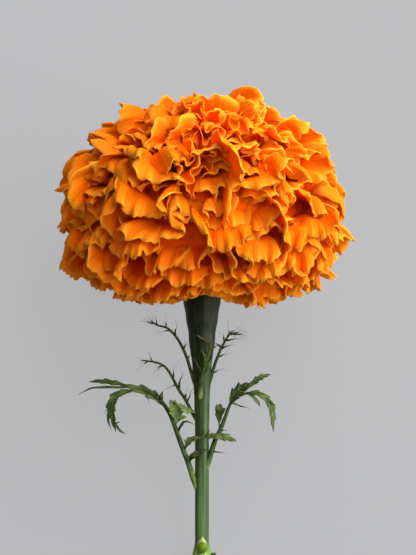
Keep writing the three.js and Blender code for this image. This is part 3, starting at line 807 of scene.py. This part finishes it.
LEAF_LEFT = {
    "radii": (0.95, 0.5),
    "rachis": [
        (-0.8, 31.4, 0.4), (-2.55, 36.8, 0.9), (-4.1, 41.8, 1.5), (-5.4, 45.2, 1.8),
        (-7, 49.6, 2.1), (-8.4, 53.6, 2.2), (-9.7, 56.6, 2.1), (-11.8, 59.6, 1.7), (-15, 62, 1),
        (-18.8, 63.5, 0.5), (-23, 64.4, 0.1),
    ],
    "leaflets": [
        ([(-10.4, 57.8, 1.9), (-12.9, 60.6, 1.5), (-17.4, 63.1, 0.8), (-24.6, 64.7, 0.1)],
         1.8, 4, 0.45, (-0.3, 0.4, 0.87), 0.48),
        ([(-21.5, 64.3, 0.3), (-25.4, 65.2, 0.1), (-29.6, 65.7, -0.4), (-33.8, 65.6, -1.2)],
         1.1, 4, 0.5, (0, 0.5, 0.87), 0.3),
        ([(-21.5, 64, 0.3), (-27, 64.1, 0.9), (-32.6, 63.9, 1.2), (-36.6, 62, 1.3)],
         0.5, 3, 0.4, (0, 0.6, 0.8), 0.22),
        ([(-19.6, 63.2, 0.6), (-24.6, 62.2, 2.2), (-26.8, 58.4, 3), (-25.5, 51.1, 3.2)],
         1.8, 6, 0.48, (-0.35, 0.3, 0.85), 0.36),
        ([(-26.3, 59.4, 2.9), (-27.6, 57, 3.2), (-27.6, 54, 3.3), (-26.8, 51.6, 3.2)],
         0.6, 2, 0.35, (-0.2, 0.2, 0.95), 0.28),
        ([(-25.9, 54.4, 3.2), (-25.2, 52.8, 3.4), (-24, 51.4, 3.5), (-22.4, 50.3, 3.4)],
         0.55, 2, 0.4, (0.3, 0.3, 0.9), 0.3),
        ([(-8.2, 52.6, 2.3), (-7.3, 55, 3.2), (-7.9, 57.8, 3.9), (-9.3, 60.7, 4)],
         2.5, 5, 0.6, (0.1, 0.05, 1), 0.66),
        ([(-7.4, 54.2, 2.9), (-6.5, 55, 3.4), (-5.4, 55.5, 3.7), (-4.4, 55.6, 3.8)],
         0.75, 2, 0.5, (0.2, 0.3, 0.9), 0.6),
        ([(-8.6, 59.9, 4), (-6.5, 59, 4.6), (-4.3, 57.6, 4.9), (-2, 57.4, 5)],
         1.2, 6, 0.6, (0.3, 0.4, 0.87), 0.72),
        ([(-7.3, 50.2, 2.1), (-6.2, 53, 3.1), (-4.6, 54.3, 3.7), (-2.4, 53.4, 3.8)],
         0.55, 3, 0.35, (0.2, 0.6, 0.75), 0.25),
        ([(-5.3, 45, 1.8), (-4.3, 47.6, 3.2), (-3, 49, 4), (-0.6, 49.6, 4.6)],
         1.2, 3, 0.6, (0, 0.3, 0.95), 0.5),
        ([(-3.2, 48.8, 4), (1.5, 49.9, 4.8), (5.8, 49.9, 4.8), (10.3, 48.5, 4.4)],
         1.5, 6, 0.66, (0, 0.5, 0.87), 0.42),
        ([(-3.9, 41, 1.5), (-3.4, 43.4, 2.9), (-1.2, 44.8, 3.7), (1.7, 46.1, 3.6)],
         1.15, 3, 0.45, (0.2, 0.5, 0.85), 0.22),
    ],
    "threads": [
        ((-12.2, 60.2, 1.6), (-11.6, 63, 2), 0.9), ((-16.1, 62.2, 0.9), (-15.8, 59.9, 1.3), 0.36),
        ((-27.2, 57.9, 3.1), (-28.3, 57.1, 3.2), 0.36),
        ((-25.9, 53.8, 3.2), (-24.2, 54.2, 3.5), 0.4), ((-4.4, 47.4, 3.1), (-5.4, 49.1, 3.6), 0.4),
        ((1.2, 50, 4.8), (2.1, 52.1, 4.7), 0.45),
    ],
}

LEAF_RIGHT = {
    "radii": (0.95, 0.5),
    "rachis": [
        (0.7, 37.8, 0.4), (2.3, 43.2, 1.1), (3.9, 48.3, 1.4), (5.6, 51.8, 1.3), (7.1, 55.6, 0.9),
        (8.3, 58.8, 0.5), (10.4, 61.8, 0.3),
    ],
    "leaflets": [
        ([(8.2, 58.6, 0.7), (9.7, 61.4, 0.8), (11.7, 63.4, 0.6), (14.2, 65.3, 0.2)],
         2.5, 4, 0.52, (-0.3, 0.25, 0.92), 0.18),
        ([(12.2, 63, 0.5), (14.9, 65, 0.3), (17.7, 67, -0.2), (20.6, 67.8, -1)],
         1.2, 5, 0.55, (-0.3, 0.3, 0.9), 0.32),
        ([(11, 61.8, 0.5), (16.4, 62.3, 1.8), (20.3, 58.9, 2.7), (21.2, 51, 2.8)],
         1.55, 6, 0.52, (0.4, 0.5, 0.75), 0.36),
        ([(13.2, 62.3, 1.1), (14.8, 61.6, 1.9), (16.2, 60.3, 2.3), (17.3, 58.5, 2.5)],
         0.8, 2, 0.5, (0.3, 0.4, 0.85), 0.55),
        ([(20.4, 57.8, 2.8), (20.6, 56.2, 3.1), (20.6, 54.8, 3.1), (20.4, 53, 3.2)],
         0.4, 2, 0.4, (0.1, 0.2, 0.95), 0.55),
        ([(5.3, 51.2, 1.4), (5.1, 54, 2.4), (5.2, 56.6, 2.9), (5.5, 59.4, 2.7)],
         1.9, 3, 0.74, (-0.15, -0.1, 1), 0.2),
        ([(8.4, 59.4, 0.8), (9.4, 59.4, 1.4), (10.4, 59, 1.7), (11.2, 58.6, 1.7)],
         0.55, 2, 0.45, (0.2, 0.5, 0.85), 0.6),
    ],
    "threads": [
        ((10.8, 58.8, 1.7), (13.4, 58.1, 1.6), 0.3), ((2.9, 45.2, 1.4), (6.4, 44.8, 2), 0.36),
        ((5.2, 51.4, 1.5), (6.9, 51.5, 2.6), 0.4), ((20, 59.9, 2.5), (21.7, 59, 2.7), 0.45),
    ],
}

BRACT_LEFT_UPPER = {
    "radii": (0.55, 0.34),
    "rachis": [
        (-1.8, 63.2, 0.3), (-3.5, 69.5, 0.6), (-4.8, 73.6, 0.8), (-6.9, 77.9, 0.9), (-9.2, 80.8, 1),
        (-10.9, 81.9, 0.9), (-13.5, 82.6, 0.6), (-15.3, 84, 0.2),
    ],
    "threads": [
        ((-7.9, 79.4, 1), (-7.5, 81.8, 1.5), 0.42), ((-5.6, 75.4, 0.9), (-4.7, 77, 1.4), 0.42),
        ((-9.2, 80.9, 1), (-11.4, 80.7, 1.6), 0.36), ((-10.9, 81.7, 0.9), (-10.8, 83.4, 1.2), 0.36),
        ((-13.4, 82.5, 0.6), (-13.6, 84.2, 0.9), 0.36),
        ((-14.2, 82.9, 0.5), (-16.6, 83.6, 0.6), 0.36),
        ((-4.4, 72.6, 0.8), (-3.6, 73.7, 1.4), 0.36),
    ],
}

BRACT_LEFT_LOWER = {
    "radii": (0.55, 0.34),
    "rachis": [
        (-1.2, 52.8, -0.8), (-3.6, 57.6, -1), (-5.2, 60.6, -1.1), (-6.9, 63.1, -1.1),
        (-8.7, 66.5, -1), (-10.1, 68.9, -0.9), (-11.8, 70.6, -0.8), (-14.6, 71.5, -0.8),
        (-18.3, 72, -1),
    ],
    "threads": [
        ((-8.7, 66.4, -1), (-8.5, 68.9, -0.5), 0.45),
        ((-6.9, 63.2, -1.1), (-5.9, 67.4, -0.4), 0.45),
        ((-7.7, 64.6, -1), (-8.8, 64.3, -0.6), 0.42),
        ((-5.2, 60.4, -1.1), (-4.8, 62.2, -0.4), 0.55),
        ((-4.6, 59.6, -1.1), (-3.3, 62.8, 0.9), 0.36),
        ((-11.8, 70.4, -0.8), (-13.2, 69.3, -0.3), 0.4),
        ((-14.6, 71.5, -0.8), (-15.4, 72.8, -0.5), 0.36),
        ((-16.2, 71.8, -0.9), (-17.4, 70.9, -0.6), 0.36),
    ],
}

BRACT_FRONT = {
    "radii": (0.8, 0.34),
    "rachis": [
        (-0.5, 58.6, 0.9), (-0.4, 64.4, 2.9), (0, 67.6, 3.8), (0.9, 71, 4.4), (1.9, 74, 4.9),
        (2.4, 76.4, 5.2), (0.8, 78.2, 5.4), (-1.6, 79.8, 5.4),
    ],
    "leaflets": [
        ([(0.2, 66.4, 3.6), (1.2, 69.8, 4.3), (2, 73, 4.8), (2.8, 76.8, 5)],
         1.45, 3, 0.5, (0, 0, 1), 0.42),
    ],
    "threads": [
        ((0.1, 68.2, 3.9), (-2.5, 73.4, 4.5), 0.45), ((1.3, 72.6, 4.7), (-0.4, 75.9, 5.3), 0.45),
        ((2.3, 75.4, 5.1), (4.6, 76.8, 5.2), 0.45), ((2.2, 76.8, 5.3), (3.6, 78.4, 5.2), 0.4),
    ],
}

BRACT_RIGHT = {
    "radii": (0.6, 0.34),
    "rachis": [
        (1.2, 61.8, -0.6), (2.9, 67.6, -0.4), (3.9, 71, 0), (4.8, 73.4, 0.3), (5.8, 75.8, 0.4),
        (7.1, 78.1, 0.3), (8.2, 79.6, 0.1), (9.8, 79.9, -0.2),
    ],
    "threads": [
        ((9.2, 79.8, -0.1), (12.2, 79.6, -0.6), 0.34), ((7, 78, 0.3), (10, 78.5, 0.9), 0.4),
        ((5.7, 75.4, 0.4), (8.6, 76.6, 1), 0.38), ((4.8, 73.2, 0.3), (6.9, 74, 0.7), 0.36),
        ((3.2, 68.4, -0.3), (4.9, 69.3, 0.2), 0.36), ((6.8, 77.6, 0.3), (6.5, 79.6, 0.7), 0.42),
        ((8, 79.3, 0.1), (7.9, 81.2, 0.3), 0.36), ((5.8, 75.8, 0.4), (4, 77.2, 0.8), 0.45),
        ((7.5, 78.8, 0.2), (9.8, 81, 0.4), 0.42), ((8.4, 79.7, 0), (11.2, 80.5, -0.3), 0.42),
    ],
}

BLADE_THICKNESS = 0.24
BLADE_COLUMNS = 8
ROWS_PER_TOOTH = 6
TOOTH_DEPTH = 0.4
TOOTH_PEAK = 0.74
KEEL = 0.28
LEAF_LAYERS = ("tone", "age", "blade")


class LeafMesh:
    """A leaf's bmesh, with a surface layer for its veins and a tone, an age and a blade mark."""

    def __init__(self):
        self.bm = bmesh.new()
        self.surface = self.bm.loops.layers.uv.new("leaf")
        self.tone, self.age, self.blade = (
            self.bm.verts.layers.float.new(name) for name in LEAF_LAYERS
        )
        self.facing = self.bm.verts.layers.float_vector.new("facing")

    def add_blade(self, midrib, half_width, teeth, widest, facing, tone, draws):
        """Adds one toothed leaflet along its midrib, keeled and a little waved."""
        route = Route(midrib)
        look = Vector(facing)
        power = log(0.5) / log(widest)
        phase = draws.uniform(0, 2 * pi)

        def shape(vertex, across_share, share):
            side = vertex.co.x
            place, ahead = route.at(share)
            across = ahead.cross(look).normalized()
            face = across.cross(ahead)
            part = (share * teeth + (0.35 if side > 0 else 0)) % 1.0
            peak = part / TOOTH_PEAK if part < TOOTH_PEAK else (1 - part) / (1 - TOOTH_PEAK)
            swell = max(0.05, sin(pi * share**power))
            outline = 1 - TOOTH_DEPTH * (1 - peak**1.4) * abs(side)
            width = half_width * swell * outline * side
            wave = sin(2.2 * teeth * share + 2.5 * side + phase) * abs(side)
            rise = KEEL * abs(width) + 0.1 * half_width * swell * wave
            lean = 0.55 * half_width * swell * abs(side) * (peak - 0.3)
            vertex[self.tone] = tone
            vertex[self.age] = ease(share, 0.8, 1.0) * 0.7 + 0.35 * peak * abs(side) ** 4
            vertex[self.blade] = 1.0
            vertex[self.facing] = directed(face)
            vertex.co = placed(place + across * width + face * rise + ahead * lean)
            return across_share, share * teeth

        add_grid(self.bm, self.surface, BLADE_COLUMNS, teeth * ROWS_PER_TOOTH, shape)

    def thicken(self, thickness):
        """Gives the blades made so far a thickness, in millimetres, away from their upper faces."""
        made = bmesh.ops.extrude_face_region(self.bm, geom=self.bm.faces[:], use_keep_orig=True)
        for vertex in made["geom"]:
            if isinstance(vertex, bmesh.types.BMVert):
                vertex.co -= Vector(vertex[self.facing]) * thickness * MM

    def add_stalk(self, route, radius, sides, steps, tone, age):
        """Adds a round stalk; radius, tone and age are functions of the share of its length."""
        first = len(self.bm.verts)
        add_tube(self.bm, route, radius, sides, steps, self.surface)
        self.bm.verts.ensure_lookup_table()
        for vertex in self.bm.verts[first:]:
            share = next(iter(loop[self.surface].uv.y for loop in vertex.link_loops), 0.0)
            vertex[self.tone] = tone(share)
            vertex[self.age] = age(share)

    def add_hair(self, place, heading, span, droop, thickness):
        """Adds one long fine hair that droops towards its tip."""
        middle = place + heading * span * 0.5 + Vector((0, -0.12 * droop, 0)) * span
        tip = place + heading * span + Vector((0, -0.4 * droop, 0)) * span
        self.add_stalk(
            Route([place, middle, tip]),
            lambda share: thickness * (1 - 0.7 * share),
            3,
            5,
            lambda share: 0.4,
            lambda share: 1.0,
        )


def leaf_bmesh(plan, draws, look):
    """A leaf: toothed blades with thickness, then its round stalk, lobes and hairs."""
    leaf = LeafMesh()
    for midrib, half_width, teeth, widest, facing, tone in plan.get("leaflets", ()):
        leaf.add_blade(midrib, half_width, teeth, widest, facing, tone, draws)
    leaf.thicken(BLADE_THICKNESS)
    low, high = plan["radii"]
    thin = look["slim"]
    rachis = Route(plan["rachis"])
    leaf.add_stalk(
        rachis,
        lambda share: mix(low, high * thin, share) * ease(share, -0.1, 0.16) * (1 - 0.4 * share**6),
        10,
        60,
        lambda share: mix(look["joint"], look["tone"], ease(share, 0.05, 0.3)),
        lambda share: look["age"] * ease(share, 0.55, 1.0),
    )
    for midrib, half_width, teeth, _, _, tone in plan.get("leaflets", ()):
        rib = 0.12 + 0.08 * half_width
        leaf.add_stalk(
            Route(midrib),
            lambda share, r=rib: r * (1 - 0.8 * share),
            6,
            3 * teeth + 6,
            lambda share, t=tone: t + 0.1,
            lambda share: 0.5 * ease(share, 0.7, 1.0),
        )
    for start, end, radius in plan["threads"]:
        a, b = Vector(start), Vector(end)
        bow = Vector((draws.uniform(-0.3, 0.3), draws.uniform(-0.3, 0.3), draws.uniform(-0.2, 0.4)))
        leaf.add_stalk(
            Route([a, a.lerp(b, 0.5) + bow, b]),
            lambda share, r=radius * thin: r * (1 - 0.85 * share) ** 0.8,
            6,
            8,
            lambda share: look["tone"],
            lambda share: look["age"] * ease(share, 0.3, 1.0),
        )
        heading = (b - a).normalized()
        leaf.add_hair(b - heading * 0.5, heading, look["hair"] * draws.uniform(0.5, 1.2), 0.5, 0.06)
    add_fringe(leaf, plan, draws, look)
    close_shell(leaf.bm)
    return leaf.bm


def add_fringe(leaf, plan, draws, look):
    """Adds fine hairs that stand out near the tips of the lobes and along the rachis."""
    rachis = Route(plan["rachis"])
    roots = [(Vector(b), (Vector(b) - Vector(a)).normalized()) for a, b, _ in plan["threads"]]
    roots += [rachis.at(1.0)] * 3
    for number in range(look["hairs"]):
        if number % 3:
            place, ahead = roots[draws.randrange(len(roots))]
            place = place - ahead * draws.uniform(0, 1.2)
        else:
            place, ahead = rachis.at(draws.uniform(0.3, 1.0))
        spread = Vector([draws.uniform(-1, 1) for _ in range(3)])
        heading = (ahead + spread * 0.8).normalized()
        span = look["hair"] * draws.uniform(0.4, 1.1)
        leaf.add_hair(place, heading, span, draws.uniform(-0.5, 1.0), draws.uniform(0.03, 0.055))


def leaf_finish(greens):
    """Green leaves, dark to yellow-green, with a light midrib and side veins, browned with age."""
    finish = Finish(
        "leaf_green",
        Roughness=0.6,
        Specular_IOR_Level=0.18,
        Subsurface_Weight=0.05,
        Subsurface_Scale=0.001,
    )
    across, along, _ = finish.surface("leaf")
    patches = finish.maths("MULTIPLY", finish.maths("SUBTRACT", finish.noise(420, 4), 0.5), 0.9)
    green = finish.ramp(
        finish.maths("ADD", finish.attribute("tone"), patches, clamp=True),
        [
            (0.05, greens.leaf_dark),
            (0.35, greens.leaf_colour),
            (0.65, greens.leaf_light),
            (0.95, greens.leaf_young),
        ],
    )
    side = finish.maths("ABSOLUTE", finish.maths("SUBTRACT", across, 0.5))
    slant = finish.maths("SUBTRACT", along, finish.maths("MULTIPLY", side, 1.3))
    veins = finish.maths("SINE", finish.maths("MULTIPLY", slant, 2 * pi))
    midrib = finish.maths("LESS_THAN", side, 0.03)
    lines = finish.maths("MAXIMUM", midrib, finish.maths("GREATER_THAN", veins, 0.92))
    on_blade = finish.maths("MULTIPLY", lines, finish.attribute("blade"))
    veined = finish.maths("MULTIPLY", on_blade, 0.4)
    tone = finish.blend(veined, green, greens.vein_colour)
    brown = finish.maths("MULTIPLY", finish.attribute("age"), 0.85, clamp=True)
    finish.colour(finish.blend(brown, tone, greens.tip_colour))
    finish.bump(finish.maths("ADD", veins, finish.noise(1800, 3)), 0.25, 0.0001)
    return finish.material


LEAF_LOOK = {
    "slim": 0.9, "tone": 0.3, "joint": 0.8, "age": 0.25, "hair": 1.6, "hairs": 10,
}
BRACT_LOOK = {
    "slim": 0.95, "tone": 0.24, "joint": 0.45, "age": 0.85, "hair": 4.0, "hairs": 36,
}
FRONT_LOOK = {
    "slim": 0.95, "tone": 0.36, "joint": 0.9, "age": 0.9, "hair": 2.4, "hairs": 12,
}
LEAVES = {
    "leaf_left": (LEAF_LEFT, LEAF_LOOK),
    "leaf_right": (LEAF_RIGHT, LEAF_LOOK),
    "bract_left_upper": (BRACT_LEFT_UPPER, BRACT_LOOK),
    "bract_left_lower": (BRACT_LEFT_LOWER, BRACT_LOOK),
    "bract_front": (BRACT_FRONT, FRONT_LOOK),
    "bract_right": (BRACT_RIGHT, BRACT_LOOK),
}


class MARIGOLD_OT_leaves(bpy.types.Operator):
    """Adds the two lower leaves with toothed leaflets and the four bristly upper bracts"""

    bl_idname = "marigold.leaves"
    bl_label = "Leaves and bracts"

    def execute(self, context):
        greens = context.scene.marigold_greens
        material = leaf_finish(greens)
        draws = random.Random(greens.seed)
        for node, (plan, look) in LEAVES.items():
            bm = leaf_bmesh(plan, draws, look)
            finish_piece(bm, f"{node}_fine", material, (node,))
        return {"FINISHED"}


# ---- The stage ----


class MARIGOLD_OT_stage(bpy.types.Operator):
    """Adds the floor, the lights and the camera, which looks square onto the stem from above"""

    bl_idname = "marigold.stage"
    bl_label = "Stage"

    VIEW_CENTRE = (1.8, 96.7, 0)
    VIEW_HEIGHT = 165.4
    LENS = 85.0
    SENSOR = 36.0
    LIT = (0, 100, 0)  # what the lights point at

    def execute(self, context):
        stage = context.scene.marigold_stage
        scene = context.scene
        camera = link_object("camera", bpy.data.cameras.new("camera"))
        camera.data.lens = self.LENS
        camera.data.sensor_width = self.SENSOR
        distance = self.VIEW_HEIGHT * self.LENS / self.SENSOR
        centre = Vector(self.VIEW_CENTRE)
        right, up, back = (directed(axis) for axis in ((1, 0, 0), (0, 1, 0), (0, 0, 1)))
        turned = Matrix((right, up, back)).transposed().to_4x4()
        camera.matrix_world = (
            Matrix.Translation(placed(centre + Vector((0, 0, distance)))) @ turned
        )
        camera.data.clip_start = 0.01
        scene.camera = camera

        bm = bmesh.new()
        bmesh.ops.create_grid(bm, x_segments=1, y_segments=1, size=stage.floor_size / 2)
        finish = Finish(
            "floor_grey",
            Base_Color=stage.floor_colour,
            Roughness=0.9,
            Specular_IOR_Level=0.1,
            Emission_Color=(0.97, 0.98, 1.0),
            Emission_Strength=stage.floor_glow,
        )
        floor = mesh_object(bm, "floor", finish.material)
        floor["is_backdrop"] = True

        middle = placed(self.LIT)
        for name, offset, size, energy, colour in (
            ("key_light", (1320, 520, 820), 2.9, stage.key_energy, (1.0, 0.985, 0.96)),
            ("fill_light", (-150, 500, 1200), 1.2, stage.fill_energy, (1.0, 0.9, 0.75)),
            ("top_light", (300, 1150, 350), 0.9, stage.top_energy, (1.0, 0.99, 0.97)),
        ):
            lamp = bpy.data.lights.new(name, "AREA")
            lamp.shape = "DISK"
            lamp.size = size
            lamp.energy = energy
            lamp.color = colour
            light = link_object(name, lamp)
            light.location = placed(Vector(self.LIT) + Vector(offset))
            light.rotation_euler = (middle - light.location).to_track_quat("-Z", "Y").to_euler()

        world = bpy.data.worlds.new("studio")
        world.use_nodes = True
        background = world.node_tree.nodes["Background"]
        background.inputs["Color"].default_value = (1.0, 0.93, 0.84, 1.0)
        background.inputs["Strength"].default_value = stage.ambient
        scene.world = world
        scene.view_settings.view_transform = "Standard"
        return {"FINISHED"}


# ---- Sizes and colours that a user would change ----


def amount(name, description, default, **limits):
    return bpy.props.FloatProperty(name=name, description=description, default=default, **limits)


def length(name, description, default):
    return amount(name, description, default, min=0.0, unit="LENGTH", precision=4)


def tint(name, description, default):
    return bpy.props.FloatVectorProperty(
        name=name, description=description, default=default, subtype="COLOR", min=0.0, max=1.0
    )


class MarigoldBloom(bpy.types.PropertyGroup):
    """Sizes and colours of the bloom"""

    seed: bpy.props.IntProperty(name="Seed", description="Draw of the petals' waves", default=12)
    florets: bpy.props.IntProperty(
        name="Florets", description="Ray florets that show", default=300, min=20, max=400
    )
    crown_portion: amount("Crown portion", "Share of the florets above the centre", 0.57, max=0.95)
    radius: length("Radius", "Reach of the petals from the flower's axis", 0.0414)
    crown_height: length("Crown height", "From the bloom's centre to its top", 0.0355)
    skirt_depth: length("Skirt depth", "From the bloom's centre to its lowest petals", 0.0246)
    centre: length("Centre", "Height of the bloom's centre above the cut end", 0.1115)
    offset: length("Offset", "How far the head sits to the right of the stem", 0.0008)
    floret_width: length("Floret width", "Half of a petal's width at its margin", 0.0084)
    thickness: length("Thickness", "Of one petal", 0.0002)
    core_share: amount("Core", "Reach of the packed inner petals", 0.8, subtype="FACTOR")
    core_skirt: length("Core skirt", "Depth of the packed petals under the centre", 0.011)
    wave: amount("Wave", "Steepness of the margin's waves", 1.0, subtype="FACTOR")
    tooth: amount("Teeth", "Depth of the margin's fine teeth, of a petal's length", 0.007)
    # The rim colour is a painted highlight along the thin edges of the petals.
    rim_highlight_colour: tint("Rim", "Waved rim of a petal", (1.0, 0.4, 0.032))
    face_colour: tint("Face", "Open face of a petal", (1.0, 0.285, 0.01))
    # Middle, shade and depth darken a petal towards its claw: partly its own deeper colour, partly
    # painted shade where the other petals cover it.
    middle_colour: tint("Middle", "Petal further in", (0.95, 0.2, 0.003))
    shade_colour: tint("Shade", "Petal where others cover it", (0.9, 0.145, 0.002))
    depth_colour: tint("Depth", "Narrow claw of a petal", (0.75, 0.08, 0.001))
    # The redder tint carries painted shade on the skirt and on the side away from the key light, as
    # well as each floret's random tone.
    tone_and_shade_tint: tint("Warm", "Tint of the redder petals", (1.0, 0.76, 0.7))


class MarigoldGreens(bpy.types.PropertyGroup):
    """Colours of the stem, the bud and the leaves"""

    seed: bpy.props.IntProperty(name="Seed", description="Draw of the leaf hairs", default=5)
    stem_dark: tint("Stem dark", "Dark streaks of the stem", (0.03, 0.055, 0.016))
    stem_colour: tint("Stem", "Stem", (0.05, 0.105, 0.035))
    stem_light: tint("Stem light", "Light streaks of the stem", (0.1, 0.21, 0.07))
    bud_dark: tint("Bud dark", "Bud where it is darker", (0.06, 0.12, 0.002))
    bud_colour: tint("Bud", "Bud", (0.15, 0.25, 0.003))
    cap_colour: tint("Cap", "Pale cap over the bud", (0.4, 0.48, 0.22))
    leaf_dark: tint("Leaf dark", "Darkest parts of the leaves", (0.014, 0.026, 0.006))
    leaf_colour: tint("Leaf", "Leaves", (0.045, 0.085, 0.018))
    leaf_light: tint("Leaf light", "Lighter leaflets", (0.13, 0.2, 0.06))
    leaf_young: tint("Leaf young", "Yellow-green joints and young blades", (0.24, 0.34, 0.04))
    vein_colour: tint("Veins", "Midribs and side veins", (0.24, 0.34, 0.14))
    tip_colour: tint("Tips", "Browned tips of the lobes", (0.11, 0.045, 0.022))


class MarigoldStage(bpy.types.PropertyGroup):
    """Floor and lights"""

    floor_size: length("Floor", "Side of the floor", 3.0)
    floor_colour: tint("Floor colour", "Pale grey floor", (0.055, 0.057, 0.06))
    floor_glow: amount("Floor glow", "Light of the lit floor itself, which softens shadows", 0.43)
    key_energy: amount("Key", "Key light", 80.0)
    fill_energy: amount("Fill", "Fill light", 3.6)
    top_energy: amount("Top", "Light beyond the bloom", 11.0)
    ambient: amount("Ambient", "Light all round", 0.12)


class MARIGOLD_PT_panel(bpy.types.Panel):
    """Lists the flower's sizes, colours and pieces"""

    bl_idname = "MARIGOLD_PT_panel"
    bl_label = "African Marigold"
    bl_space_type = "VIEW_3D"
    bl_region_type = "UI"
    bl_category = "Marigold"

    def draw(self, context):
        for name, group in SETTINGS.items():
            box = self.layout.box()
            for value in group.__annotations__:
                box.prop(getattr(context.scene, name), value)
        for operator in OPERATORS:
            self.layout.operator(operator.bl_idname)


OPERATORS = (
    MARIGOLD_OT_stage,
    MARIGOLD_OT_petals,
    MARIGOLD_OT_core,
    MARIGOLD_OT_involucre,
    MARIGOLD_OT_stem,
    MARIGOLD_OT_side_bud,
    MARIGOLD_OT_leaves,
)
SETTINGS = {
    "marigold_bloom": MarigoldBloom,
    "marigold_greens": MarigoldGreens,
    "marigold_stage": MarigoldStage,
}
CLASSES = (*SETTINGS.values(), MARIGOLD_PT_panel, *OPERATORS)


def register():
    for cls in CLASSES:
        bpy.utils.register_class(cls)
    for name, group in SETTINGS.items():
        setattr(bpy.types.Scene, name, bpy.props.PointerProperty(type=group))


def unregister():
    for name in SETTINGS:
        delattr(bpy.types.Scene, name)
    for cls in reversed(CLASSES):
        bpy.utils.unregister_class(cls)


def main():
    register()
    for operator in OPERATORS:
        group, name = operator.bl_idname.split(".")
        getattr(getattr(bpy.ops, group), name)()
    boxes = {"cad": CAD_BOX, "visual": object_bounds()}
    {key: [list(corner) for corner in box] for key, box in boxes.items()}


if __name__ == "__main__":
    main()
